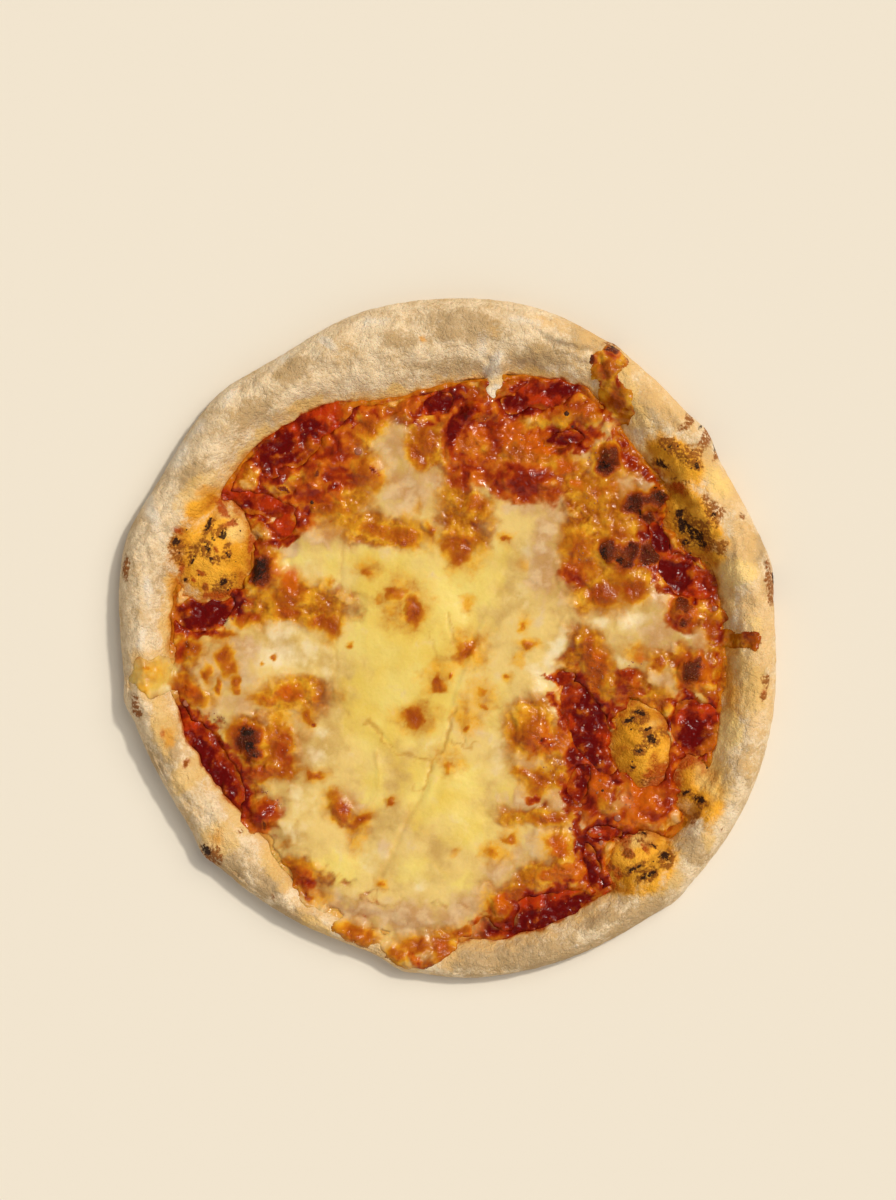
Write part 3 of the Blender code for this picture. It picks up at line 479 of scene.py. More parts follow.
SCORCHED = (
    (-108, 36, 3.5, 6, 0, 0.9), (-102, 34, 2, 5, -25), (-96, 45, 1.6, 4, -35), (-97, 36, 2.4, 5, 10),
    (-93, 31, 3, 2.4), (-91, 43, 2, 3.4, -50), (-88, 35, 1.6, 4.5), (-90, 22, 4.5, 3.2, 20),
    (-105, 23, 1.3, 1.3), (-85, 47, 2.4, 1, 20, 0.7), (-97, 20, 1.4, 1.6, 0, 0.8), (-86, 26, 2, 3, 0, 0.6),
    (88, 77, 5, 3, -30), (97, 73, 5, 4, -40), (99, 69, 3, 2.4), (86, 70, 4, 1.6, -30), (92, 73, 4, 2, -30, 0.8),
    (91, 64, 2, 1.2, 0, 0.8), (95, 62, 2, 1.4, 0, 0.8), (94, 47, 4, 5, 10), (100, 44, 3.4, 7, 40),
    (106, 50, 4, 5), (104, 38, 4, 3, -40), (97, 39, 4, 2), (93, 36, 3, 2, -40), (98, 30, 2.6, 2.2),
    (109, 36, 2, 3), (103, 56, 2.4, 3, 0, 0.8), (77, -31, 4, 3), (73, -33, 4, 1.4, 30), (80, -37, 3.4, 2),
    (81, -41, 4, 3.4), (76, -45, 3, 2.6), (86, -38, 1.4, 1.4), (74, -52, 1.6, 1.4), (82, -56, 1.6, 1.4),
    (79, -58, 2, 1.4), (70, -61, 2.2, 1.6), (95, -62, 3, 1.6), (100, -65, 2.6, 3), (92, -70, 3, 2),
    (88, -72, 3, 1.6), (99, -72, 1.5, 4, -15, 0.8), (78, -78, 2.4, 1.4), (77, -81, 2.4, 1.2),
    (75, -92, 5, 1.8, 35), (79, -95, 5, 2.6, 30), (87, -88, 3.4, 4), (66, -91, 1.6, 1.6), (72, -86, 1.8, 1.5),
    (68, -94, 1.2, 1.2), (82, -83, 2.6, 1, -30, 0.9), (-95, -87, 5, 4, -45), (104, 81, 2.6, 6, -40),
    (98, 89, 2, 8, -45), (108, 75, 2, 4, -20), (129, 22, 2, 8, 5), (128, 30, 1.6, 4, 0, 0.8), (121, -1, 5, 2.6),
    (127, -17, 1.6, 3), (126, -23, 1.5, 1.5, 0, 0.9), (-129, 28, 1.6, 5), (-125, -27, 2, 5, 10),
    (-118, -56, 1.6, 4, 20, 0.9), (-83, -77, 1.4, 1), (-105, -50, 1.2, 2, -30, 0.8),
    (-92, -84, 2.4, 1, -40, 0.7), (-70, -104, 2, 2, 0, 0.6), (66, 117, 4, 3, 0, 0.8),
    (109, -76, 1.2, 2, 0, 0.6), (118, 48, 2, 4, 30, 0.6),
)
BURNT = (
    (-108, 38, 1.4, 2), (-107.5, 34, 1, 1.6, 0, 0.8), (-102, 32, 0.9, 2.6, -25), (-96, 46, 0.8, 3, -35),
    (-94, 40, 0.8, 1.2), (-96.5, 36, 0.9, 2.6, 10), (-95, 31, 0.9, 1.2), (-88, 33, 0.9, 2.8),
    (-90, 41.5, 1, 2, -40), (-90, 23, 2, 1.2, 20), (-88, 20, 1.4, 0.8), (-105, 23, 0.8, 0.8),
    (86, 70, 2.4, 1.1, -30), (99, 69, 1.6, 1.1, -30), (97, 75, 1.6, 1, 0, 0.8), (88, 76, 1.6, 1, 0, 0.8),
    (94, 45, 2.4, 3.4, 10), (93, 50, 1.6, 1.4), (99, 42, 1.8, 4.6, 40), (102, 38, 2.4, 1.4, -30),
    (96, 39, 2, 1), (106, 49, 1.6, 2.4, 0, 0.8), (98, 30, 1.4, 1, 0, 0.8), (77, -30, 2.4, 1.2),
    (73, -33, 2.6, 0.9, 30), (81, -40, 2.2, 1.6), (80, -36, 1.8, 1), (76, -45, 1.6, 1.2), (74, -52, 0.9, 0.8),
    (100, -64, 2.2, 1.4), (95, -62, 1.8, 0.8), (92, -70, 1.6, 1), (75, -92, 3, 0.9, 35),
    (79, -95, 3.4, 1.2, 30), (87, -87, 1.4, 2.2), (78, -78, 1.4, 0.7), (82, -83, 1.6, 0.6, -30, 0.8),
    (-97, -85, 2.4, 2, -45), (107, 78, 1.1, 4, -35), (102, 85, 0.9, 4, -45, 0.8), (130.5, 24, 1, 5, 5, 0.8),
    (85, 66, 1.6, 0.8, 0, 0.7),
)
# Cream painted on the upper sides of the bubbles, mostly toward the upper right, and on the right of the rim, the
# sides that face the light: painted highlight.
CREAM_HIGHLIGHTS = (
    (82, -34, 4, 4, 0, 0.6), (104, -54, 5, 7), (75, -80, 7, 4, 0, 0.9), (-85, 43, 4, 5),
    (-88, 50, 5, 3, 0, 0.8), (112, -38, 5, 8), (108, 62, 8, 5, -50, 0.8), (116, 26, 7, 5),
    (110, -44, 4, 6, 0, 0.8), (85, -33, 2, 2, 0, 0.6), (86, -86, 3, 4, 0, 0.6), (122, 6, 5, 6, 0, 0.6),
    (106, -58, 3, 7, 0, 0.9), (72, -84, 5, 3, 0, 0.6),
)
FLOUR = (
    (18.5, 102, 9, 3.4, 78), (18, 98, 6, 2.6, 75), (116, 26, 5, 4), (112, -38, 5, 6), (110, -44, 4, 5),
    (-48, 118, 8, 3, -45, 0.9), (18, 110, 8, 3, 60), (14, 116, 4, 8, 0, 0.8), (-118, 50, 4, 14, 20, 0.9),
    (-120, 20, 3, 14, 0, 0.8), (-108, 74, 6, 9, -30, 0.9), (-88, 96, 9, 5, 45, 0.8), (-30, 126, 14, 4, 8, 0.8),
    (30, 127, 12, 3, -10, 0.8), (-122, 0, 3, 8, 0, 0.8), (-120, -34, 3, 7, 0, 0.7), (112, -70, 6, 9, 35, 0.8),
    (96, -100, 9, 5, 40, 0.7), (118, 52, 3, 10, 30, 0.6), (-66, 112, 9, 3, 38, 0.8), (50, -124, 10, 3, 15, 0.6),
    (-100, 84, 4, 8, -40, 0.8),
)

# %% Where the sauce changes colour
SAUCE_DARK = (
    (-68, 76, 8, 6, 40), (-76, 70, 5, 5, 0, 0.9), (-56, 84, 6, 4, 30, 0.9), (-97, 10, 10, 5, 15),
    (-97, -48, 10, 3.4, -57), (-90, -58, 9, 3.5, -57), (-84, 54, 6, 2.5, -12, 0.8), (57, -30, 6, 9),
    (54, -42, 7, 6), (58, -50, 5, 6, 0, 0.9), (98, -38, 7, 7), (38, -112, 14, 4, 16), (22, -115, 8, 3, 10, 0.8),
    (52, -106, 8, 3, 30, 0.9), (46, 100, 7, 3, 10), (2, 84, 4, 12), (-3, 95, 8, 4), (92, 26, 9, 5, -35),
    (86, 40, 3, 6), (53, -58, 4, 4, 0, 0.9), (26, 96, 5, 3, 0, 0.9), (45, 80, 7, 2.5), (57, -92, 3, 9, 18, 0.8),
)
SAUCE_BRIGHT = (
    (-50, 90, 8, 3.5, 25), (-60, 84, 6, 3, 40, 0.8), (-46, 82, 5, 4, 0, 0.9), (-72, 84, 5, 4, 40),
    (-80, 62, 6, 4), (-65, 45, 4, 5), (-70, 55, 6, 3, 0, 0.9), (-88, 58, 4, 3), (-86, 16, 6, 3, 20, 0.8),
    (-104, -34, 3, 6, -57, 0.9), (62, -40, 4, 4, 0, 0.8), (50, -34, 3, 5, 0, 0.7), (104, -30, 4, 5),
    (94, -32, 3, 3, 0, 0.8), (94, -46, 4, 4, 0, 0.8), (30, -106, 10, 3, 16, 0.9), (46, -102, 7, 2.5, 25, 0.8),
    (38, 96, 7, 3, 10), (28, 100, 5, 3, 0, 0.9), (54, 102, 5, 2.5, 20), (-12, 92, 5, 4), (98, 18, 5, 5, -35),
    (84, 50, 5, 5), (88, 32, 4, 4, 0, 0.7), (62, -78, 5, 3, 0, 0.7), (48, -98, 7, 2.5), (10, -116, 5, 2.4),
    (62, -26, 3, 5, 0, 0.7), (74, -66, 8, 6),
)
SAUCE_ORANGE = (
    (-40, 92, 8, 4, 0, 0.9), (-60, 68, 6, 4, 0, 0.8), (-54, 72, 7, 7, 0, 0.7), (-70, 60, 6, 3, 0, 0.8),
    (-78, 50, 6, 2, -12, 0.8), (-108, 2, 3, 9, 0, 0.9), (-100, -28, 5, 4), (-88, -44, 3, 6, -57, 0.8),
    (70, -50, 5, 7, 0, 0.8), (66, -34, 4, 7, 0, 0.7), (104, -42, 4, 6), (92, -26, 5, 4, 0, 0.8),
    (54, -102, 6, 4, 20, 0.8), (12, -112, 6, 3, 0, 0.7), (52, 92, 8, 5, 0, 0.8), (34, 88, 8, 4, 0, 0.8),
    (100, 12, 4, 5), (78, 62, 6, 5, 0, 0.7), (-20, 92, 5, 4, 0, 0.8), (64, -84, 4, 5, 0, 0.7),
    (86, 20, 4, 4, 0, 0.8),
)

# %% Folds, cracks and seams
# Each line has its points, its rise, which is below 0 for a groove, and its half-width.
DOUGH_LINES = (
    (((33, 127), (40, 121), (50, 118), (57, 117)), 0.9, 1.0),
    (((34, 124), (41, 118.5), (50, 116), (58, 115)), -1.3, 1.6),
    (((-90, 97), (-82, 102), (-75, 107)), -0.7, 0.8), (((-92, 99), (-83, 104.5), (-76, 109)), 0.5, 0.8),
    (((-50, 121), (-45, 116)), 0.9, 1.0), (((-56, 118), (-50, 114)), 0.5, 1.2),
    (((12, 112), (16, 108), (22, 110)), 0.9, 1.2), (((14, 116), (18, 112)), 0.7, 1.0),
    (((17, 106), (19, 99), (17, 94)), 1.6, 2.6), (((8, 107), (14, 105), (22, 107)), -0.8, 1.2),
    (((-118, 62), (-108, 60)), -0.6, 0.9), (((-103, 70), (-98, 66)), -0.6, 0.9),
    (((-112, 66), (-104, 63)), 0.6, 0.8), (((-120, 40), (-116, 30), (-117, 20)), 0.6, 0.9),
    (((-123, 30), (-121, 18), (-122, 8)), -0.5, 0.9), (((-113, 44), (-118, 36)), -0.5, 0.8),
    (((-125, 50), (-119, 46)), -0.5, 0.8), (((-118, 6), (-116, -4)), 0.5, 0.9),
    (((100, -84), (108, -76), (113, -66)), -0.5, 1.0), (((92, -100), (101, -92)), -0.4, 1.0),
    (((118, -44), (120, -58)), -0.4, 0.9), (((110, -60), (112, -52)), 0.4, 0.9),
    (((106, 60), (112, 54), (116, 44)), -0.5, 1.1), (((-40, 108), (-28, 112), (-16, 110)), -0.5, 2.0),
    (((-66, 100), (-56, 106), (-46, 108)), -0.5, 1.8), (((-10, 118), (4, 116)), -0.5, 1.6),
    (((62, 106), (70, 112)), -0.4, 1.2), (((-108, -60), (-100, -70), (-92, -76)), -0.5, 1.4),
    (((-76, -96), (-66, -106)), -0.4, 1.2), (((20, -124), (40, -124), (58, -118)), 0.4, 2.0),
    (((70, -110), (84, -104)), -0.4, 1.2), (((-124, -36), (-119, -46)), -0.5, 1.0),
    (((84, 92), (92, 84)), -0.4, 1.6),
)
CHEESE_CRACKS = (
    (((-33, -33), (-28, -37), (-20, -46), (-14, -48), (-7, -49.5)), 0.9, 0.45),
    (((3, -28), (1, -33), (0, -37), (-1, -41), (-4, -47), (-7, -52), (-9, -60)), 1.0, 0.7),
    (((-9, -60), (-14, -68), (-18, -76), (-22, -86), (-27, -95)), 0.35, 1.2),
    (((1, -42), (6, -43), (8, -44), (12, -42)), 0.9, 0.4), (((5, -33), (7, -43)), 0.7, 0.4),
    (((0, 10), (0, 5), (3, -3)), 0.7, 0.4), (((-14, -60), (-11, -61)), 0.8, 0.5),
    (((-42, 45), (-43, 20), (-45, 0), (-45, -15), (-44, -25), (-40, -31)), 0.35, 0.5),
    (((-29, -45), (-28, -52), (-28, -60), (-31, -66), (-33, -69)), 0.3, 0.7),
    (((-8, 2), (-4, -6), (-2, -14)), 0.5, 0.5),
)
CHEESE_LINES = (
    (((19, 16), (13, 2), (7, -14), (4, -26)), 0.45, 1.6), (((16, 14), (10, 0), (4, -14), (1, -27)), -0.4, 1.4),
    (((2, -56), (-4, -66), (-10, -78), (-17, -92)), 0.5, 2.4), (((24, 30), (20, 20), (16, 8)), -0.35, 1.2),
    (((34, 22), (26, 24), (20, 20)), -0.4, 0.9), (((42, 28), (44, 20), (49, 16)), -0.5, 0.9),
    (((-42, 45), (-43, 20), (-45, 0), (-45, -15), (-44, -25), (-40, -31)), -0.35, 0.7),
    (((-33, -33), (-28, -37), (-20, -46), (-14, -48), (-7, -49.5)), -0.5, 0.45),
    (((3, -28), (1, -33), (0, -37), (-1, -41), (-4, -47), (-7, -52)), -0.9, 0.7),
    (((-7, -52), (-9, -60), (-14, -68), (-18, -76), (-22, -86), (-27, -95)), -0.8, 1.1),
    (((-6, -30), (-1, -32), (2, -28), (4, -20), (8, -12)), 0.4, 0.8), (((0, 10), (0, 5), (3, -3)), -0.5, 0.4),
    (((1, -42), (6, -43), (8, -44), (12, -42)), -0.5, 0.45), (((5, -33), (7, -43)), -0.5, 0.45),
    (((-14, -60), (-11, -61)), -0.4, 0.5),
    (((-29, -45), (-28, -52), (-28, -60), (-31, -66), (-33, -69)), 0.5, 0.9),
    (((-108, -30), (-98, -37), (-91, -40), (-86, -48), (-83, -60), (-82, -66)), 0.7, 1.6),
    (((-22, 80), (-15, 87), (-10, 92)), 0.5, 1.4), (((70, 75), (78, 69), (87, 62)), -0.5, 1.0),
    (((-79, 20), (-78, 30), (-76, 39)), -0.8, 0.8), (((67, 111), (69, 104), (70, 98)), 0.6, 1.0),
    (((-5, -56), (-9, -66)), 0.35, 1.2), (((-17, -70), (-25, -88)), 0.35, 1.4),
    (((-36, 96), (-28, 94), (-22, 90)), -0.6, 1.2), (((44, 110), (52, 106)), -0.5, 1.2),
    (((20, 74), (28, 70), (40, 72)), -0.7, 1.2), (((18, 60), (30, 57), (44, 60)), -0.6, 1.4),
    (((-68, -3), (-60, 2), (-50, 3)), -0.3, 1.0), (((-84, -30), (-76, -31), (-68, -36)), 0.5, 0.9),
)

# %% Where the fat glistens
WET_PLACES = (
    (-83, 13, 4, 2, 40), (-88, 8, 4, 1, 20), (-103, -4, 2, 4, 0), (-93, -32, 3, 2, -30), (-66, -38, 3, 8, 20),
    (-71, -64, 6, 2, -40), (60, 74, 4, 4, 0), (58, 55, 3, 5, 0), (56, 32, 4, 3, 0), (60, -14, 2, 8, 10),
    (74, -12, 4, 3, 0), (44, -40, 4, 3, 0), (42, -52, 4, 3, 0), (72, -64, 2, 4, 30), (-60, 80, 8, 4, 30),
    (30, 78, 10, 4, 0), (56, -30, 3, 10, 0), (36, -108, 12, 2, 15),
)

# %% Outlines of the sauce and the cheese
DOUGH_TIP = (18.5, 102, 9, 3.2, 78)
SAUCE_PAST_FOOT = 1.5
CHEESE_SHORT_OF_FOOT = 0.5
CHEESE_OVER_BUBBLES = 0.5
EDGE_MARGIN = 0.6
RAGGEDNESS = 1.5


def clear_of_pools(x, y):
    """How far a point lies outside the pools where sauce shows through the cheese."""
    return np.min([outside(x, y, pool) for pool in POOLS + FINE_POOLS], axis=0)


def clear_of_bubbles(x, y):
    """How far a point lies outside the dough bubbles that break through the topping."""
    x, y = swirl(x, y, 2.0, 6.0, 25)
    nearest = np.full(np.shape(x), np.inf)
    for name in BARE_BUBBLES:
        centre_x, centre_y, half_length, half_width, turn, _ = BUBBLES[name]
        bare = (centre_x, centre_y, BARE_SHARE * half_length, BARE_SHARE * half_width, turn)
        nearest = np.minimum(nearest, outside(x, y, bare))
    return np.minimum(nearest, outside(x, y, DOUGH_TIP))


def sauce_reach(x, y):
    """Over 0 where there is sauce."""
    x, y = swirl(x, y, 1.2, 9.0, 11)
    shore = around(FOOT_RADII, np.degrees(np.arctan2(y, x))) + SAUCE_PAST_FOOT - np.hypot(x, y)
    return np.minimum(shore, clear_of_bubbles(x, y))


def cheese_reach(x, y):
    """Over 0 where there is cheese."""
    limit = edge_radius(np.degrees(np.arctan2(y, x))) - EDGE_MARGIN - np.hypot(x, y)
    x, y = swirl(x, y, 1.5, 8.0, 21)
    reach = around(FOOT_RADII, np.degrees(np.arctan2(y, x))) - CHEESE_SHORT_OF_FOOT - np.hypot(x, y)
    reach = np.minimum(reach, clear_of_bubbles(x, y) + CHEESE_OVER_BUBBLES)
    reach = np.minimum(reach, clear_of_pools(x, y))
    ragged = RAGGEDNESS * noise(x, y, 5.0, 22)
    for island in OVERFLOWS + CHEESE_ISLANDS:
        reach = np.maximum(reach, ragged - outside(x, y, island))
    return np.minimum(reach, limit)


# %% Heights of the three layers
CREST_BLUR = 0.05
RIM_RADIUS = 125.0
CREASE_WIDTH = 0.09
TIP_RISE = 3.0
SAUCE_DEPTH = 1.5
FILM_DEPTH = 0.45


def dough_height(x, y):
    """The top of the dough, with its wrinkles and seams."""
    direction = np.arctan2(y, x)
    angle = np.degrees(direction)
    radius = np.hypot(x, y)
    foot, edge = around(FOOT_RADII, angle), edge_radius(angle)
    ring = np.where(radius < foot, radius / foot, 1.0 + (radius - foot) / (edge - foot))
    rings, levels = np.array(DOUGH_PROFILE[:TOP_POINTS]).T
    blur = CREST_BLUR * ease(1.9, 1.75, ring)
    level = sum(np.interp(ring + k * blur, rings, levels) for k in (-1.0, -0.5, 0.0, 0.5, 1.0)) / 5.0
    rise = (level - 1.0).clip(0.0) * (around(RIM_HEIGHTS, angle) - BASE_TOP)
    plain = np.minimum(level, 1.0) * BASE_TOP + rise
    lifted = domes(x, y, BUBBLES.values()) * np.clip((2.0 - ring) / BUBBLE_FADE, 0.0, 1.0)
    return plain + lifted + dough_relief(x, y, ring)


def along_rim(x, y, out_size, along_size, octaves, seed):
    """Noise stretched along the rim. Two copies that break on opposite sides meet where neither breaks."""
    out = np.hypot(x, y) * along_size / out_size
    right = rough(out, np.arctan2(y, x) * RIM_RADIUS, along_size, octaves, seed)
    left = rough(out, np.arctan2(-y, -x) * RIM_RADIUS, along_size, octaves, seed + 7)
    share = ease(-25.0, 25.0, x)
    return share * right + (1.0 - share) * left


def creases(field):
    """Turns noise into thin lines: 1 where the noise passes through 0, 0 away from there."""
    return np.exp(-(field / CREASE_WIDTH) ** 2)


def dough_relief(x, y, ring):
    """Dents, wrinkles along the rim, crags on the bare bubbles, and seams."""
    moved_x, moved_y = swirl(x, y, 2.0, 9.0, 61)
    wrinkles = 0.6 * along_rim(moved_x, moved_y, 3.2, 9.0, 3, 31)
    fibres = along_rim(moved_x, moved_y, 1.9, 8.0, 2, 39) * ease(-0.5, 0.6, noise(x, y, 30.0, 40))
    lines = creases(along_rim(moved_x, moved_y, 6.0, 14.0, 2, 35))
    lines = lines + creases(rough(moved_x, moved_y, 9.0, 2, 36))
    skin = 0.2 * rough(x, y, 2.4, 2, 37) - 0.4 * lines * ease(-0.3, 0.5, noise(x, y, 20.0, 38))
    dents = 1.3 * rough(x, y, 17.0, 3, 32)
    crags = 0.6 * rough(x, y, 4.5, 3, 33) * ease(1.0, -5.0, clear_of_bubbles(x, y))
    on_rim = ease(0.98, 1.25, ring) * ease(2.0, 1.93, ring)
    crags = crags + TIP_RISE * ease(2.0, -1.0, outside(x, y, DOUGH_TIP))
    relief = wrinkles + 0.25 * fibres + skin + dents + strokes(x, y, DOUGH_LINES)
    return relief * on_rim + crags * ease(2.0, 1.8, ring)


def sauce_height(x, y):
    """The top of the sauce: lumps of tomato over the base and a little way up the dough."""
    ground = dough_height(x, y)
    reach = sauce_reach(x, y)
    pulp = 0.7 * lumps(x, y, 7.0, 3, 41)
    level = BASE_TOP + SAUCE_DEPTH + pulp
    film = ground + FILM_DEPTH * ease(-0.2, 1.6, reach) + 0.3 * pulp * ease(0.0, 3.0, reach)
    return np.maximum(level * ease(-1.0, 0.5, reach), film)


def cheese_ground(x, y):
    """What the cheese lies on."""
    return np.where(sauce_reach(x, y) > 0.0, sauce_height(x, y), dough_height(x, y))


def cheese_relief(x, y, masks):
    """Smooth where the cheese stayed pale, lumpy where it browned, with its folds and cracks."""
    browned = ease(0.3, 0.7, np.maximum(masks["browned"], 0.8 * masks["red"]))
    lumpy = np.maximum(browned, 0.8 * masks["glow"])
    pale = 0.35 * rough(x, y, 14.0, 2, 51) + 0.03 * rough(x, y, 1.8, 2, 52)
    return pale + 0.9 * masks["lump"] * lumpy + 0.35 * browned + 0.6 * strokes(x, y, CHEESE_LINES)


def cheese_height(x, y, masks):
    """The top of the melted cheese: thin at its rim, full further in, with swells and blisters."""
    ground = cheese_ground(x, y)
    reach = cheese_reach(x, y)
    lip = 0.2 + 0.6 * (1.0 - np.exp(-reach.clip(0.0) / 2.4))
    inward = ease(0.0, 9.0, reach)
    depth = (CHEESE_LEVEL + domes(x, y, SWELLS) - ground - lip).clip(0.0)
    body = (0.12 + 0.88 * inward) * depth + domes(x, y, BLISTERS) * ease(-1.0, 2.5, reach)
    return ground + lip + body + cheese_relief(x, y, masks) * ease(-0.5, 3.0, reach)


# %% Masks of the three layers
def cheese_masks(x, y):
    """How far each change of the melted cheese goes at each place, from 0 to 1. lump goes from -1 to 1."""
    lump = lumps(*swirl(x, y, 1.5, 5.0, 54), 9.0, 3, 53)
    shore, beside = cheese_reach(x, y) + 3.0 * lump, clear_of_pools(*swirl(x, y, 1.5, 8.0, 21))
    inside_shore = around(FOOT_RADII, np.degrees(np.arctan2(y, x))) - np.hypot(x, y)
    x, y = swirl(x, y, 1.6, 8.0, 71)
    x, y = swirl(x, y, 0.8, 3.0, 72)
    uneven = 0.12 * rough(x, y, 7.0, 4, 73)

    def spread(spots, low, high):
        return ease(low, high, patches(x, y, spots) + uneven)

    rich = 1.0 - 0.8 * spread(CALM, 0.2, 0.7)
    near_rim = ease(16.0, 6.0, inside_shore + 5.0 * lump) * rich
    pale, clear = spread(WHITE_AND_HIGHLIGHTS, 0.15, 0.9), spread(PINK, 0.15, 0.9)
    browned = np.maximum(0.28 * spread(GOLD, 0.15, 0.8), 0.58 * spread(AMBER, 0.1, 0.9))
    return {
        "yellow": spread(YELLOW, 0.2, 0.8),
        "glow": np.maximum(spread(GLOW, 0.05, 0.75), near_rim) * (1.0 - 0.8 * np.maximum(pale, clear)),
        "orange": spread(ORANGE, 0.2, 0.9),
        "pale": pale,
        "clear": clear,
        "browned": np.maximum(browned, 0.9 * spread(BROWN, 0.1, 0.8)),
        "red": np.maximum(0.64 * spread(RUST, 0.15, 0.85), spread(WINE, 0.15, 0.8)),
        "char": spread(CHAR, 0.2, 0.8),
        "crack": strokes(x, y, CHEESE_CRACKS).clip(0.0, 1.0),
        "thin": ease(5.0, 0.0, shore) * rich * ease(-4.0, 1.0, inside_shore),
        "wet": spread(WET_PLACES, 0.1, 0.8),
        "beside_pool": ease(4.5, -0.5, beside + 2.5 * lump) * rich,
        "lump": lump,
    }


def sauce_masks(x, y):
    """How red, deep, bright and oily the sauce is at each place."""
    x, y = swirl(x, y, 1.3, 7.0, 81)
    uneven = 0.15 * rough(x, y, 5.0, 3, 82)
    places = {"pool": POOLS + FINE_POOLS, "deep": SAUCE_DARK, "bright": SAUCE_BRIGHT, "oily": SAUCE_ORANGE}
    masks = {name: ease(0.25, 0.65, patches(x, y, spots) + uneven) for name, spots in places.items()}
    masks["calm"] = ease(0.2, 0.7, patches(x, y, CALM))
    masks["lump"] = lumps(x, y, 7.0, 3, 41)
    masks["shore"] = ease(3.0, 0.0, sauce_reach(x, y) + 2.0 * masks["lump"]) * (1.0 - 0.8 * masks["pool"])
    return masks


def dough_masks(x, y):
    """How baked, stained, scorched or floury the dough is at each place, and where highlight and shade are painted on
    it. soak is how far the topping reaches.
    """
    soak = np.maximum(sauce_reach(x, y), cheese_reach(x, y) - 1.5)
    pools = ease(0.2, 0.45, patches(x, y, POOLS + FINE_POOLS))
    tip = ease(3.0, 0.0, outside(x, y, DOUGH_TIP))
    on_bubble = ease(3.0, -1.0, clear_of_bubbles(x, y)) * (1.0 - tip)
    x, y = swirl(x, y, 1.0, 8.0, 91)
    x, y = swirl(x, y, 0.4, 2.4, 92)
    uneven = 0.10 * rough(x, y, 5.0, 3, 93)
    rich = (1.0 - 0.8 * ease(0.2, 0.7, patches(x, y, CALM))) * (1.0 - tip)

    def spread(spots, low, high):
        return ease(low, high, patches(x, y, spots) + uneven)

    def soaked(low, high, share):
        return ease(low, high, soak + share * uneven)

    film = on_bubble * soaked(-4.0, 0.5, 30.0)
    stained = np.maximum(spread(REDDENED, 0.2, 0.75), 0.6 * film)
    return {
        "tan_and_shade": spread(TAN_AND_SHADE, 0.2, 0.8),
        "golden": np.maximum(spread(GOLDEN, 0.15, 0.75), 0.7 * rich * soaked(-3.0, 0.5, 12.0)),
        "ochre": spread(OCHRE, 0.15, 0.8),
        "cream_highlight": spread(CREAM_HIGHLIGHTS, 0.15, 0.8),
        "flour": spread(FLOUR, 0.35, 0.9),
        "warm": np.maximum(spread(WARM, 0.2, 0.8), 0.8 * (1.0 - tip) * soaked(-7.0, -1.0, 30.0)),
        "amber": np.maximum(rich * soaked(-2.0, 0.5, 12.0), 0.9 * on_bubble * soaked(-11.0, 0.5, 40.0)),
        "red": np.maximum(stained, rich * pools * soaked(-1.5, 0.6, 6.0)),
        "scorched": spread(SCORCHED, 0.2, 0.75),
        "burnt": spread(BURNT, 0.35, 0.65),
        "bubble": on_bubble,
    }

# %% [markdown]
# ## The dough
#
# The dough could be sculpted or turned with a Screw modifier. Here its mesh is a grid of rings and spokes
# that is written point by point, because the same height function then also tells the sauce and the
# cheese what they lie on. The rings are close together where dough shows and far apart where sauce hides
# it. The outer wall follows a smooth line through the profile's last points, down to the flat underside.

# %% Rings of the dough
SPOKES = 900
HIDDEN_RINGS = (0.3, 0.55)
BUBBLE_RINGS = np.arange(0.62, 1.0, 0.0088)
RIM_RINGS = np.arange(1.0, 1.9, 0.034)
WALL_STEPS = 4
WALL_RADIUS = 130.0
WALL_ROUGHNESS = 0.002
UNDER_RINGS = (1.4, 0.7)


def smooth_path(points, steps):
    """Points on a smooth curve through a few given ones, the ends included."""
    points = np.asarray(points, float)
    before, after = np.vstack((points[0], points)), np.vstack((points[1:], points[-1], points[-1]))
    path = []
    for i in range(len(points) - 1):
        p0, p1, p2, p3 = before[i], points[i], points[i + 1], after[i + 1]
        for t in np.arange(steps) / steps:
            bend, twist = 2 * p0 - 5 * p1 + 4 * p2 - p3, 3 * (p1 - p2) + p3 - p0
            path.append(p1 + 0.5 * t * (p2 - p0 + t * (bend + t * twist)))
    return np.vstack((path, points[-1]))


wall = smooth_path(DOUGH_PROFILE[WALL_START:], WALL_STEPS)
top_rings = np.concatenate((HIDDEN_RINGS, BUBBLE_RINGS, RIM_RINGS))
print(len(top_rings), "rings on top,", len(wall), "down the wall")


# %% The dough's points
def ring_points(ring, direction):
    """Where a ring of the profile lies on the real dough."""
    angle = np.degrees(direction)
    foot = around(FOOT_RADII, angle)
    radius = np.where(ring < 1.0, ring * foot, foot + (ring - 1.0) * (edge_radius(angle) - foot))
    return radius * np.cos(direction), radius * np.sin(direction)


def wall_height(ring, level, x, y):
    """The height of a point on the dough's outer wall."""
    angle = np.degrees(np.arctan2(y, x))
    rise = np.clip(level - 1.0, 0.0, 1.0) * (around(RIM_HEIGHTS, angle) - BASE_TOP)
    lifted = domes(x, y, BUBBLES.values()) * np.clip((2.0 - ring) / BUBBLE_FADE, 0.0, 1.0)
    return np.minimum(level, 1.0).clip(0.0) * BASE_TOP + rise + np.where(level >= 1.0, lifted, 0.0)


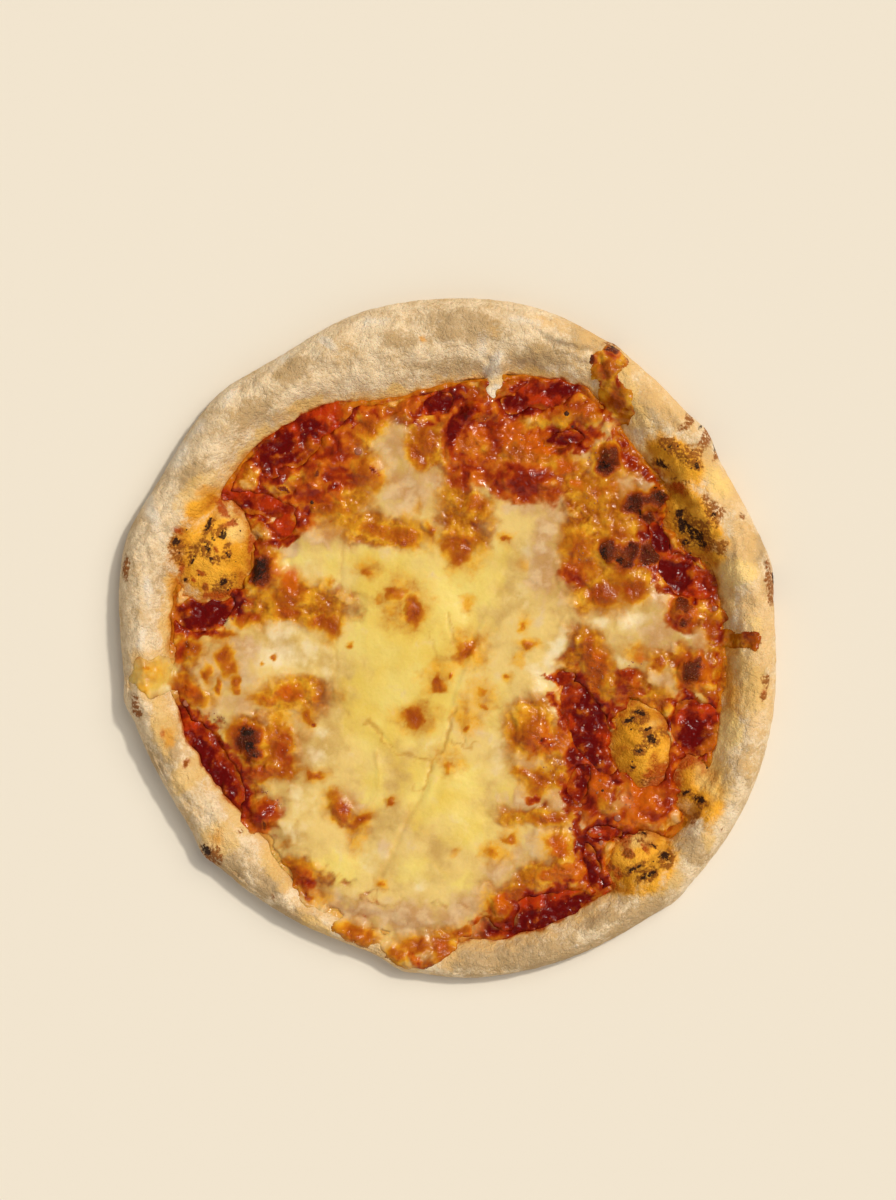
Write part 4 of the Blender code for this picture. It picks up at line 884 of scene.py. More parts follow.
def make_crust_points():
    """Every ring of the dough from the middle of the top, over the rim and down to the middle underneath."""
    direction = np.linspace(0.0, 2.0 * np.pi, SPOKES, endpoint=False)
    layers = []
    for ring in top_rings:
        x, y = ring_points(ring, direction)
        layers.append(np.column_stack((x, y, dough_height(x, y))))
    for ring, level in wall:
        x, y = ring_points(ring, direction)
        grain = rough(direction * WALL_RADIUS, np.full(SPOKES, 20.0 * level), 5.0, 3, 34)
        out = 1.0 + WALL_ROUGHNESS * grain * min(level, 1.0)
        layers.append(np.column_stack((x * out, y * out, wall_height(ring, level, x, y))))
    for ring in UNDER_RINGS:
        x, y = ring_points(ring, direction)
        layers.append(np.column_stack((x, y, np.zeros(SPOKES))))
    middle = dough_height(np.zeros(1), np.zeros(1))[0]
    return np.vstack(layers + [[(0.0, 0.0, middle), (0.0, 0.0, 0.0)]]), len(layers)


crust_points, crust_rings = make_crust_points()
print("dough:", len(crust_points), "points, highest", round(crust_points[:, 2].max(), 1), "mm")


# %% The dough's mesh
def make_object(name, points, faces):
    """A smooth-shaded mesh object from points in millimetres."""
    mesh = bpy.data.meshes.new(name)
    mesh.from_pydata((points * METRES).tolist(), [], faces)
    mesh.shade_smooth()
    piece = bpy.data.objects.new(name, mesh)
    bpy.context.scene.collection.objects.link(piece)
    return piece


def store_masks(piece, masks):
    """Keeps each mask as one number at each point, which the materials read by name."""
    for name, values in masks.items():
        attribute = piece.data.attributes.new(name, "FLOAT", "POINT")
        attribute.data.foreach_set("value", np.asarray(values, np.float32))


def make_crust():
    """Quads between neighbouring rings, and a fan at each pole."""
    step = np.arange(SPOKES)
    beside = (step + 1) % SPOKES
    faces = []
    for ring in range(crust_rings - 1):
        inner, outer = ring * SPOKES, (ring + 1) * SPOKES
        faces += np.column_stack((inner + step, outer + step, outer + beside, inner + beside)).tolist()
    top_middle, under_middle = crust_rings * SPOKES, crust_rings * SPOKES + 1
    last = (crust_rings - 1) * SPOKES
    faces += np.column_stack((np.full(SPOKES, top_middle), step, beside)).tolist()
    faces += np.column_stack((np.full(SPOKES, under_middle), last + beside, last + step)).tolist()
    return make_object("fine_crust", crust_points, faces)


fine_crust = make_crust()
store_masks(fine_crust, dough_masks(crust_points[:, 0], crust_points[:, 1]))
print("dough:", len(fine_crust.data.polygons), "faces")

# %% [markdown]
# ## The sauce and the cheese
#
# Both are sheets with a wandering outline, holes and islands. Metaballs or a fluid simulation could make
# them, but their places have to match the real pizza. So each is cut out of a square grid wherever its
# reach is over zero, and the grid's rim is pulled onto the exact outline. The top has the fine relief.
# The underside is hidden, so it is a coarse triangulation that shares the rim with the top. The rim lies
# just under the surface that carries it, so that no wall shows. The faces below it are shaded flat:
# smooth ones would bend the light along the rim and draw a dark line there.

# %% Cutting a sheet from a grid
from mathutils.geometry import delaunay_2d_cdt

GRID_REACH = 142.0
SINK = 0.12
RIM_DEPTH = 0.05
UNDER_CELLS = 6


def covered_squares(reach, span):
    """Which squares of the grid are covered. Squares that would touch at a corner only are joined."""
    middle = (span[1:] + span[:-1]) / 2
    grid_x, grid_y = np.meshgrid(middle, middle, indexing="ij")
    covered = (reach(grid_x.ravel(), grid_y.ravel()) > 0.0).reshape(grid_x.shape)
    for _ in range(4):
        low, right, up, far = covered[:-1, :-1], covered[1:, :-1], covered[:-1, 1:], covered[1:, 1:]
        rising = low & far & ~right & ~up
        falling = right & up & ~low & ~far
        covered[1:, :-1] |= rising
        covered[:-1, :-1] |= falling
    return covered


def pull_to_outline(reach, x, y, cell):
    """Moves the rim's points onto the line where reach is 0."""
    start_x, start_y = x, y
    small, most = 0.05, 0.45 * cell
    for _ in range(4):
        slope_x = (reach(x + small, y) - reach(x - small, y)) / (2.0 * small)
        slope_y = (reach(x, y + small) - reach(x, y - small)) / (2.0 * small)
        move = 0.7 * reach(x, y) / np.maximum(slope_x**2 + slope_y**2, 0.2)
        x = np.clip(x - move * slope_x, start_x - most, start_x + most)
        y = np.clip(y - move * slope_y, start_y - most, start_y + most)
    return x, y


# %% Closing a sheet underneath
def make_sheet(name, reach, cell, coarse, top_at, under_at):
    """A closed sheet with a fine top and a coarse underside. coarse is in cells."""
    span = np.arange(-GRID_REACH, GRID_REACH + cell, cell)
    covered = covered_squares(reach, span)
    squares = np.argwhere(covered)
    count = np.zeros((len(span), len(span)), int)
    for step_i, step_j in ((0, 0), (1, 0), (1, 1), (0, 1)):
        np.add.at(count, (squares[:, 0] + step_i, squares[:, 1] + step_j), 1)
    used = count > 0
    number = np.full(used.shape, -1)
    number[used] = np.arange(used.sum())
    x, y = np.repeat(span[:, None], len(span), 1)[used], np.repeat(span[None, :], len(span), 0)[used]
    rim = np.flatnonzero(count[used] < 4)
    x[rim], y[rim] = pull_to_outline(reach, x[rim], y[rim], cell)
    i, j = squares.T
    loops = np.column_stack((number[i, j], number[i + 1, j], number[i + 1, j + 1], number[i, j + 1]))
    faces = loops.tolist()
    padded = np.pad(covered, 1)
    sides = []
    for first, (di, dj) in enumerate(((0, -1), (1, 0), (0, 1), (-1, 0))):
        open_side = ~padded[i + 1 + di, j + 1 + dj]
        sides.append(loops[open_side][:, (first, (first + 1) % 4)])
    sides = np.vstack(sides)
    rows, columns = np.indices(used.shape)
    inner = (count == 4) & (rows % coarse == 0) & (columns % coarse == 0)
    deep = reach(x, y) > 0.7 * cell
    inside = np.array([k for k in number[inner] if deep[k]])
    kept = np.concatenate((rim, inside)).astype(int)
    place = {point: k for k, point in enumerate(kept)}
    ties = [(place[a], place[b]) for a, b in sides.tolist()]
    _, _, under, origin, _, _ = delaunay_2d_cdt(list(zip(x[kept], y[kept])), ties, [], 0, 1e-5)
    origin = [ids[0] if ids else -1 for ids in origin]
    under = np.array([[origin[k] for k in triangle] for triangle in under])
    centre = np.column_stack((x[kept][under].mean(1), y[kept][under].mean(1)))
    column, row = ((centre + GRID_REACH) / cell).astype(int).T
    under = under[covered[column, row] & (under >= 0).all(1)]
    points = np.column_stack((x, y, top_at(x, y)))
    points[rim, 2] = under_at(x[rim], y[rim]) + RIM_DEPTH
    floor = np.column_stack((x[kept], y[kept], under_at(x[kept], y[kept])))
    total = len(points)
    faces += (total + under[:, ::-1]).tolist()
    faces += [(total + place[a], total + place[b], b, a) for a, b in sides.tolist()]
    sheet = make_object(name, np.vstack((points, floor)), faces)
    sheet.data.polygons.foreach_set("use_smooth", np.arange(len(faces)) < len(loops))
    return sheet


# %% The sauce
SAUCE_CELL = 0.85

fine_sauce = make_sheet("fine_sauce", sauce_reach, SAUCE_CELL, UNDER_CELLS, sauce_height,
                        lambda x, y: dough_height(x, y) - SINK)


def places_of(piece):
    """The points of a piece in millimetres."""
    points = np.empty(len(piece.data.vertices) * 3)
    piece.data.vertices.foreach_get("co", points)
    return points.reshape(-1, 3) / METRES


sauce_x, sauce_y, _ = places_of(fine_sauce).T
store_masks(fine_sauce, sauce_masks(sauce_x, sauce_y))
print("sauce:", len(fine_sauce.data.polygons), "faces")

# %% The cheese
CHEESE_CELL = 0.68

fine_cheese = make_sheet("fine_cheese", cheese_reach, CHEESE_CELL, UNDER_CELLS,
                         lambda x, y: cheese_height(x, y, cheese_masks(x, y)),
                         lambda x, y: cheese_ground(x, y) - SINK)
cheese_x, cheese_y, _ = places_of(fine_cheese).T
store_masks(fine_cheese, cheese_masks(cheese_x, cheese_y))
print("cheese:", len(fine_cheese.data.polygons), "faces")

# %% [markdown]
# ## Shader maths in Python
#
# A material is a network of nodes. Placing Math nodes by hand hides what is being worked out, so a small
# class stands for one output of a node and turns an expression such as mask + 0.1 * grain into Math
# nodes. Colours go through Mix nodes, because a Math node would turn them grey.

# %% A wire between nodes
class Wire:
    """One output socket. Python operators on it add Math nodes to its material."""

    def __init__(self, paint, socket):
        self.paint = paint
        self.socket = socket

    def __add__(self, other):
        return self.paint.maths("ADD", self, other)

    __radd__ = __add__

    def __mul__(self, other):
        return self.paint.maths("MULTIPLY", self, other)

    __rmul__ = __mul__

    def __sub__(self, other):
        return self.paint.maths("SUBTRACT", self, other)

    def __rsub__(self, other):
        return self.paint.maths("SUBTRACT", other, self)


# %% A material as a sheet of nodes
class Paint:
    """The nodes of one material, from its masks to its Principled shader."""

    def __init__(self, name, **constants):
        self.material = bpy.data.materials.new(name)
        self.material.use_nodes = True
        self.nodes = self.material.node_tree.nodes
        self.links = self.material.node_tree.links
        self.shader = self.nodes["Principled BSDF"]
        for socket, value in constants.items():
            self.shader.inputs[socket.replace("_", " ")].default_value = value

    def node(self, kind, settings, inputs, output=0):
        """Any node: its type, its settings, and values or wires for its sockets by name or number."""
        made = self.nodes.new(kind)
        for name, value in settings.items():
            setattr(made, name, value)
        for name, value in inputs.items():
            if isinstance(value, Wire):
                self.links.new(value.socket, made.inputs[name])
            else:
                made.inputs[name].default_value = value
        return Wire(self, made.outputs[output])

    def maths(self, operation, first, second):
        return self.node("ShaderNodeMath", {"operation": operation}, {0: first, 1: second})

    def larger(self, first, second):
        return self.maths("MAXIMUM", first, second)

    def mask(self, name):
        """A mask that is stored at the points of the mesh."""
        return self.node("ShaderNodeAttribute", {"attribute_name": name}, {}, "Fac")

    def grain(self, size, detail=3.0, roughness=0.55):
        """Noise about 0, with hills of a size in millimetres."""
        place = self.node("ShaderNodeTexCoord", {}, {}, "Object")
        settings = {"Vector": place, "Scale": 1.0 / (size * METRES), "Detail": detail, "Roughness": roughness}
        return self.node("ShaderNodeTexNoise", {}, settings, "Fac") - 0.5

    def creased(self, size):
        """Thin lines, 1 where noise passes through 0 and falling to 0 beside that."""
        away = self.node("ShaderNodeMath", {"operation": "ABSOLUTE"}, {0: self.grain(size, 2.0)})
        return self.eased(0.06, 0.0, away)

    def eased(self, low, high, value):
        """0 below low, 1 above high, smooth between."""
        inputs = {"Value": value, "From Min": low, "From Max": high}
        return self.node("ShaderNodeMapRange", {"interpolation_type": "SMOOTHSTEP"}, inputs)

    def blend(self, below, colour, amount):
        """A colour laid over another by an amount from 0 to 1."""
        over = colour if isinstance(colour, Wire) else (*colour, 1.0)
        under = below if isinstance(below, Wire) else (*below, 1.0)
        return self.node("ShaderNodeMix", {"data_type": "RGBA"}, {0: amount, 6: under, 7: over}, 2)

    def bump(self, height, distance):
        """Fine relief that only the light sees. distance is how many metres a height of 1 stands for."""
        inputs = {"Strength": 1.0, "Distance": distance, "Height": height}
        return self.node("ShaderNodeBump", {}, inputs, "Normal")

    def finish(self, slot, piece, **outputs):
        """Feeds the shader, and gives the material to a piece. slot is not used."""
        for socket, wire in outputs.items():
            self.links.new(wire.socket, self.shader.inputs[socket.replace("_", " ")])
        piece.data.materials.clear()
        piece.data.materials.append(self.material)


# %% [markdown]
# ## Baked dough
#
# Pizza dough is matt and dusty. Flour keeps parts of the rim pale, heat tans the thin skin between, oil
# and sauce soak a golden and red line along the topping, and blisters scorch first. The masks say where;
# the noise in the material breaks each of them up finer than the mesh could. Some of the colour is painted
# light: cream on the sides of the bubbles and of the rim that face the light is painted highlight, the tan
# along the bottom of the rim is partly painted shade, and the creases are painted a little darker, as
# painted shade.

# %% Colours of the dough
# Each stain has its mask, its colour, its strength, the mask value at which it is full, and how mottled it is.
# The cream one is no stain but painted highlight on the sides that face the light.
DOUGH_STAINS_AND_HIGHLIGHT = (("ochre", (0.70, 0.27, 0.006), 0.7, 1.0, 0.6), ("cream_highlight", (0.95, 0.63, 0.20), 0.85, 1.0, 0.6),
                ("amber", (0.50, 0.16, 0.006), 0.75, 1.1, 0.5))
LIGHT_REACH = 0.001
DOUGH_BUMP = 0.0011


def paint_dough(piece):
    paint = Paint("baked dough", Specular_IOR_Level=0.12,
                  Subsurface_Weight=0.1, Subsurface_Radius=(1.0, 0.5, 0.25), Subsurface_Scale=LIGHT_REACH)
    broad, patch = paint.grain(12.0), paint.grain(4.0, 5.0)
    fine, speck = paint.grain(1.2, 4.0), paint.grain(0.4, 2.0)
    crinkle = 0.7 * paint.creased(4.5) + 0.5 * paint.creased(1.8)
    mottle = 1.0 * broad + 1.0 * patch + 0.9 * fine + 0.5 * speck
    colour = paint.blend((0.91, 0.70, 0.44), (0.62, 0.41, 0.195), paint.eased(-0.35, 0.45, mottle))
    # Tan: baked skin, and along the bottom of the rim painted shade.
    colour = paint.blend(colour, (0.46, 0.28, 0.11), 0.75 * paint.eased(0.05, 0.9, paint.mask("tan_and_shade") + mottle))
    colour = paint.blend(colour, (0.80, 0.48, 0.17), 0.7 * paint.eased(0.1, 1.0, paint.mask("warm") + mottle))
    dust = paint.mask("flour") + 1.5 * patch + 1.0 * fine + 1.5 * speck
    colour = paint.blend(colour, (0.90, 0.76, 0.57), 0.85 * paint.eased(0.15, 1.0, dust))
    # Painted shade: the dough is darkened a little along the creases, which the bump also sinks.
    colour = paint.blend(colour, (0.56, 0.41, 0.24), 0.12 * paint.eased(0.2, 1.2, crinkle))
    golden = paint.eased(0.05, 0.8, paint.mask("golden") + 0.6 * mottle)
    bubble = paint.mask("bubble")
    soaked = paint.blend((0.79, 0.48, 0.14), (0.92, 0.41, 0.015), bubble)
    colour = paint.blend(colour, soaked, golden * (0.7 + 0.25 * bubble))
    for name, stain_and_highlight, strength, high, share in DOUGH_STAINS_AND_HIGHLIGHT:
        colour = paint.blend(colour, stain_and_highlight, strength * paint.eased(0.1, high, paint.mask(name) + share * mottle))
    red = 0.9 * paint.eased(0.2, 1.0, paint.mask("red") * (1.0 + 1.4 * fine + 1.0 * patch))
    colour = paint.blend(colour, (0.40, 0.05, 0.002), red)
    streaky = 1.0 + 3.0 * fine + 2.5 * patch + speck
    scorched = paint.eased(0.2, 1.05, paint.mask("scorched") * (1.0 + 4.0 * fine + 1.0 * patch))
    colour = paint.blend(colour, (0.32, 0.09, 0.010), 0.9 * scorched)
    burnt = paint.eased(0.35, 0.95, paint.mask("burnt") * streaky)
    colour = paint.blend(colour, (0.030, 0.010, 0.005), 0.95 * burnt)
    height = 0.65 * fine + 0.3 * speck + 1.0 * patch - 0.16 * crinkle + scorched * fine
    shine = 0.75 - 0.3 * golden - 0.2 * red
    paint.finish("baked_dough", piece, Base_Color=colour, Roughness=shine, Normal=paint.bump(height, DOUGH_BUMP))


paint_dough(fine_crust)

# %% [markdown]
# ## Tomato sauce
#
# Crushed tomato is wet: a deep red pulp under a thin film of orange oil. Depth shows as darkness, so the
# deep mask goes nearly black-red. A weak but sharp shine gives the small bright glints of the oil without
# laying a grey veil over the red. The pulp is painted lighter on the tops of its lumps and darker between
# them, which is painted shade.

# %% Colours of the sauce
WET_BUMP = 0.003


def paint_sauce(piece):
    paint = Paint("tomato sauce", Specular_IOR_Level=0.14,
                  Subsurface_Weight=0.2, Subsurface_Radius=(1.0, 0.25, 0.08), Subsurface_Scale=LIGHT_REACH)
    pulp, patch, fine = paint.grain(5.0, 4.0), paint.grain(2.2, 3.0), paint.grain(0.8, 3.0)
    lump = paint.mask("lump")
    # The lump mask is the height of the pulp's lumps in the mesh, so the pulp is painted lighter on their tops and
    # darker between them: painted shade, mixed with random noise.
    mottle = 0.35 * lump + 1.0 * pulp + 0.6 * patch + 0.3 * fine
    colour = paint.blend((0.30, 0.035, 0.001), (0.52, 0.14, 0.005), paint.eased(-0.4, 0.4, mottle))
    deep_red = paint.blend((0.17, 0.004, 0.0003), (0.38, 0.034, 0.001), paint.eased(-0.4, 0.4, mottle))
    colour = paint.blend(colour, deep_red, paint.eased(0.1, 0.9, paint.mask("pool") + 0.5 * mottle))
    colour = paint.blend(colour, (0.48, 0.11, 0.003), 0.8 * paint.eased(0.2, 1.0, paint.mask("oily") + mottle))
    colour = paint.blend(colour, (0.46, 0.032, 0.001), 0.8 * paint.eased(0.2, 1.0, paint.mask("bright") + mottle))
    colour = paint.blend(colour, (0.12, 0.001, 0.0002), paint.eased(0.2, 1.1, paint.mask("deep") - mottle))
    colour = paint.blend(colour, (0.54, 0.17, 0.005), 0.85 * paint.eased(0.1, 1.0, paint.mask("shore") + mottle))
    colour = paint.blend(colour, (0.66, 0.36, 0.08), 0.9 * paint.mask("calm"))
    height = 0.4 * paint.grain(5.0, 0.0) + 0.24 * paint.grain(2.4, 0.0) + 0.06 * paint.grain(1.1, 0.0)
    shine = 0.2 + 0.3 * patch
    paint.finish("tomato_sauce", piece, Base_Color=colour, Roughness=shine, Normal=paint.bump(height, WET_BUMP))


paint_sauce(fine_sauce)

# %% [markdown]
# ## Melted cheese
#
# Light sinks into melted cheese, so it needs subsurface scattering, and its skin is oily, so it shines.
# Three grounds lie side by side: smooth yellow cheese, cloudy cheese that lets the sauce show through, and
# amber cheese soaked with orange oil. Browning is one scale from gold through amber and rust to brown:
# each step lies over the last, which gives every toasted spot its own soft halo. Redness is a second
# scale, for sauce that shows through or was stirred in. Each step of a scale says where it starts and
# where it is full, and has a dark and a light colour, between which the cheese ripples. The ripple follows
# the lumps of the mesh as well as noise, so the tops of the lumps are painted lighter and the hollows
# between them darker: painted shade.

# %% Colours of the cheese
BROWNING = (
    (0.00, 0.40, (0.46, 0.14, 0.003), (0.78, 0.39, 0.020)), (0.26, 0.50, (0.36, 0.07, 0.002), (0.60, 0.20, 0.006)),
    (0.46, 0.66, (0.28, 0.04, 0.002), (0.44, 0.08, 0.003)), (0.62, 0.82, (0.13, 0.015, 0.003), (0.22, 0.03, 0.004)),
    (0.80, 1.00, (0.05, 0.008, 0.003), (0.10, 0.020, 0.006)),
)
REDDENING = (
    (0.08, 0.42, (0.34, 0.045, 0.002), (0.60, 0.14, 0.005)), (0.36, 0.66, (0.24, 0.014, 0.001), (0.40, 0.04, 0.001)),
    (0.62, 1.00, (0.11, 0.001, 0.0003), (0.19, 0.005, 0.0005)),
)


def paint_cheese(piece):
    paint = Paint("melted cheese", Specular_IOR_Level=0.17,
                  Subsurface_Weight=0.2, Subsurface_Radius=(1.0, 0.5, 0.15), Subsurface_Scale=LIGHT_REACH)
    swell, broad = paint.grain(15.0, 1.0), paint.grain(9.0, 4.0)
    patch, mottle = paint.grain(3.2, 4.0), paint.grain(1.3, 3.0)
    lump = paint.mask("lump")
    uneven = 1.0 * broad + 0.4 * patch + 0.15 * mottle
    # The lump mask is the height of the mesh's lumps, so this makes the tops of the lumps lighter and the hollows
    # between them darker: painted shade, mixed with random clotting.
    clots_and_lump_shade = 0.35 * lump + 0.5 * swell + 0.8 * broad + 0.45 * patch + 0.2 * mottle
    cloud = paint.eased(-0.3, 0.15, swell + 0.1 * lump + 0.2 * patch)
    colour = paint.blend((0.55, 0.33, 0.09), (0.76, 0.53, 0.17), cloud)
    yellow = paint.blend((0.74, 0.51, 0.09), (0.80, 0.61, 0.16), paint.eased(-0.2, 0.2, swell + 0.15 * patch))
    colour = paint.blend(colour, yellow, paint.eased(0.0, 1.0, paint.mask("yellow") + 0.8 * uneven))
    amber = paint.blend((0.19, 0.012, 0.0003), (0.37, 0.072, 0.001), paint.eased(-0.4, 0.0, clots_and_lump_shade))
    amber = paint.blend(amber, (0.68, 0.28, 0.006), paint.eased(0.0, 0.42, clots_and_lump_shade))
    thin = paint.mask("thin")
    glow = paint.eased(0.05, 0.95, paint.larger(paint.mask("glow"), 0.9 * thin) + 0.5 * uneven)
    colour = paint.blend(colour, amber, glow)
    # The pale ground is partly real whitish cheese and partly painted highlight on wet clusters, and it is lighter on
    # the tops of the lumps.
    colour = paint.blend(colour, (0.84, 0.69, 0.42), 0.85 * paint.eased(0.1, 1.1, paint.mask("pale") + 0.8 * clots_and_lump_shade))
    cloudy = paint.blend((0.48, 0.23, 0.09), (0.68, 0.45, 0.24), paint.eased(-0.35, 0.35, clots_and_lump_shade))
    colour = paint.blend(colour, cloudy, 0.8 * paint.eased(0.15, 0.95, paint.mask("clear") + clots_and_lump_shade))
    browned = paint.mask("browned") + 0.3 * uneven + 0.2 * mottle
    ripple = paint.eased(-0.4, 0.4, clots_and_lump_shade + 0.5 * swell)
    for low, high, dark, light in BROWNING:
        colour = paint.blend(colour, paint.blend(dark, light, ripple), paint.eased(low, high, browned))
    redness = paint.larger(paint.mask("red"), 0.55 * thin * paint.eased(-0.4, 0.5, 0.0 - clots_and_lump_shade))
    redness = paint.larger(redness, 0.75 * paint.mask("beside_pool"))
    red = (redness * (1.0 - 0.9 * clots_and_lump_shade) + 0.15 * mottle) * (1.0 - 0.85 * paint.eased(0.3, 0.9, browned))
    for low, high, dark, light in REDDENING:
        colour = paint.blend(colour, paint.blend(dark, light, ripple), paint.eased(low, high, red))
    crusty, crumb = paint.eased(0.45, 0.95, browned), paint.grain(0.8, 3.0)
    colour = paint.blend(colour, (0.34, 0.12, 0.03), crusty * paint.eased(0.05, 0.4, crumb + 0.8 * mottle))
    bright = paint.eased(0.1, 1.0, paint.mask("orange") * (1.0 + 1.2 * clots_and_lump_shade))
    colour = paint.blend(colour, (0.55, 0.098, 0.001), 0.9 * bright)
    colour = paint.blend(colour, (0.52, 0.25, 0.03), 0.7 * paint.mask("crack"))
    charred = paint.eased(0.3, 1.0, paint.mask("char") * (1.0 + 3.0 * mottle + 2.0 * patch + 2.0 * crumb))
    colour = paint.blend(colour, (0.03, 0.009, 0.004), charred)
    lumpy, wet = paint.larger(glow, paint.eased(0.1, 0.5, red)), paint.mask("wet")
    waves = 0.5 * paint.grain(6.0, 0.0) + 0.26 * paint.grain(2.6, 0.0) + 0.07 * paint.grain(1.2, 0.0)
    height = (0.18 + 0.82 * paint.larger(lumpy, wet)) * waves + 0.02 * mottle
    height = height + crusty * (0.25 * mottle + 0.4 * crumb)
    shine = 0.28 - 0.12 * lumpy - 0.06 * wet + 0.2 * mottle
    paint.finish("melted_cheese", piece, Base_Color=colour, Roughness=shine, Normal=paint.bump(height, WET_BUMP))


paint_cheese(fine_cheese)

# %% [markdown]
# ## Beads of fat and burnt crumbs
#
# Small things that repeat suit Geometry Nodes: points say where each one lies and how big it is, and the
# tree puts one rounded lump on every point. The tree's result is then kept as a plain mesh, so the piece
# no longer depends on the tree. A bead is smooth and squashed. A crumb is the same lump made craggy.

# %% A tree that puts lumps on points
FULL_TURN = 6.28
LUMP_SEED = 5


def make_lump_tree():
    """A node tree with two settings, Squash and Cragginess. Each point's size is its radius attribute."""
    tree = bpy.data.node_groups.new("lumps on points", "GeometryNodeTree")
    tree.interface.new_socket("Geometry", in_out="INPUT", socket_type="NodeSocketGeometry")
    for name in ("Squash", "Cragginess"):
        tree.interface.new_socket(name, in_out="INPUT", socket_type="NodeSocketFloat")
    tree.interface.new_socket("Material", in_out="INPUT", socket_type="NodeSocketMaterial")
    tree.interface.new_socket("Geometry", in_out="OUTPUT", socket_type="NodeSocketGeometry")

    def add(kind, inputs, **settings):
        node = tree.nodes.new(kind)
        for name, value in settings.items():
            setattr(node, name, value)
        for name, value in inputs.items():
            if isinstance(value, bpy.types.NodeSocket):
                tree.links.new(value, node.inputs[name])
            else:
                node.inputs[name].default_value = value
        return node.outputs

    given = tree.nodes.new("NodeGroupInput").outputs
    ball = add("GeometryNodeMeshIcoSphere", {"Radius": 1.0, "Subdivisions": 2})["Mesh"]
    grain = add("ShaderNodeTexNoise", {"Scale": 1.4, "Detail": 1.0})["Fac"]
    push = add("ShaderNodeMath", {0: grain, 1: given["Cragginess"]}, operation="MULTIPLY")[0]
    along = add("GeometryNodeInputNormal", {})["Normal"]
    offset = add("ShaderNodeVectorMath", {0: along, "Scale": push}, operation="SCALE")["Vector"]
    lump = add("GeometryNodeSetPosition", {"Geometry": ball, "Offset": offset})["Geometry"]
    radius = add("GeometryNodeInputNamedAttribute", {"Name": "radius"}, data_type="FLOAT")["Attribute"]
    height = add("ShaderNodeMath", {0: radius, 1: given["Squash"]}, operation="MULTIPLY")[0]
    scale = add("ShaderNodeCombineXYZ", {"X": radius, "Y": radius, "Z": height})["Vector"]
    any_turn = {"Min": (0.0, 0.0, 0.0), "Max": (0.0, 0.0, FULL_TURN), "Seed": LUMP_SEED}
    turn = add("FunctionNodeRandomValue", any_turn, data_type="FLOAT_VECTOR")["Value"]
    inputs = {"Points": given["Geometry"], "Instance": lump, "Rotation": turn, "Scale": scale}
    placed = add("GeometryNodeInstanceOnPoints", inputs)["Instances"]
    plain = add("GeometryNodeRealizeInstances", {"Geometry": placed})["Geometry"]
    smooth = add("GeometryNodeSetShadeSmooth", {"Geometry": plain})["Geometry"]
    coloured = add("GeometryNodeSetMaterial", {"Geometry": smooth, "Material": given["Material"]})["Geometry"]
    add("NodeGroupOutput", {"Geometry": coloured})
    return tree


lump_tree = make_lump_tree()
print("the tree has", len(lump_tree.nodes), "nodes")


# %% From places to a piece
def top_height(x, y):
    """The height of whatever lies on top at a place."""
    cheese = cheese_height(x, y, cheese_masks(x, y))
    return np.where(cheese_reach(x, y) > 0.3, cheese, cheese_ground(x, y))


def make_lumps(name, places, squash, cragginess, paint):
    """A piece with one lump at each place, given as x, y and radius in millimetres."""
    x, y, radius = np.array(places, float).T
    piece = make_object(name, np.column_stack((x, y, top_height(x, y))), [])
    store_masks(piece, {"radius": radius * METRES})
    modifier = piece.modifiers.new("lumps", "NODES")
    modifier.node_group = lump_tree
    settings = {"Squash": squash, "Cragginess": cragginess, "Material": paint.material}
    for item in lump_tree.interface.items_tree:
        if item.in_out == "INPUT" and item.name in settings:
            modifier[item.identifier] = settings[item.name]
    made = piece.evaluated_get(bpy.context.evaluated_depsgraph_get())
    mesh = bpy.data.meshes.new_from_object(made)
    piece.modifiers.clear()
    piece.data = mesh
    print(name, "has", len(places), "lumps and", len(mesh.polygons), "faces")
    return piece


def scattered(spots, each, smallest, largest, seed):
    """Random places inside ellipses, with a radius each."""
    draw = np.random.default_rng(seed)
    places = []
    for x, y, half_length, half_width, turn in spots:
        for _ in range(each):
            along, across = half_length * draw.uniform(-1.0, 1.0), half_width * draw.uniform(-1.0, 1.0)
            side = math.radians(turn)
            place_x = x + along * math.cos(side) - across * math.sin(side)
            place_y = y + along * math.sin(side) + across * math.cos(side)
            places.append((place_x, place_y, draw.uniform(smallest, largest)))
    return places


# %% Beads of fat
# The larger ones as x, y and radius in millimetres. The small ones lie where the fat glistens.
FAT_BEADS = (
    (-36, 75, 1.6), (68, -72, 1.5), (-105, -26, 1.4), (107, 12, 1.2), (53, -67, 0.8), (53, -70, 0.8),
    (49, -76.5, 0.9), (52, -48, 0.7), (60, -47, 0.6), (61, -57, 0.6), (60, -62, 0.6), (61, -78.5, 0.8),
    (61.5, -82, 1.0), (57, -77.5, 0.6), (66, -55, 0.6),
)

fat_paint = Paint("pale fat", Base_Color=(0.36, 0.12, 0.06, 1.0), Roughness=0.18, Specular_IOR_Level=0.3,
                  Subsurface_Weight=0.3, Subsurface_Radius=(1.0, 0.5, 0.3), Subsurface_Scale=LIGHT_REACH)
fat_places = list(FAT_BEADS) + scattered(WET_PLACES, each=9, smallest=0.18, largest=0.4, seed=11)
fat_beads = make_lumps("fat_beads", fat_places, squash=0.28, cragginess=0.0, paint=fat_paint)

# %% Burnt crumbs
CRUMBS = ((47.5, 90, 0.7), (-54.5, 54.5, 0.5), (50, 85, 0.4), (62, -61, 0.4), (104, -52, 0.3))
CHARRED_PLACES = (
    (94, 42, 10, 10, 0), (-94, 33, 12, 12, 0), (78, -42, 7, 10, 0), (82, -90, 8, 5, 30), (92, 72, 8, 4, -40),
)

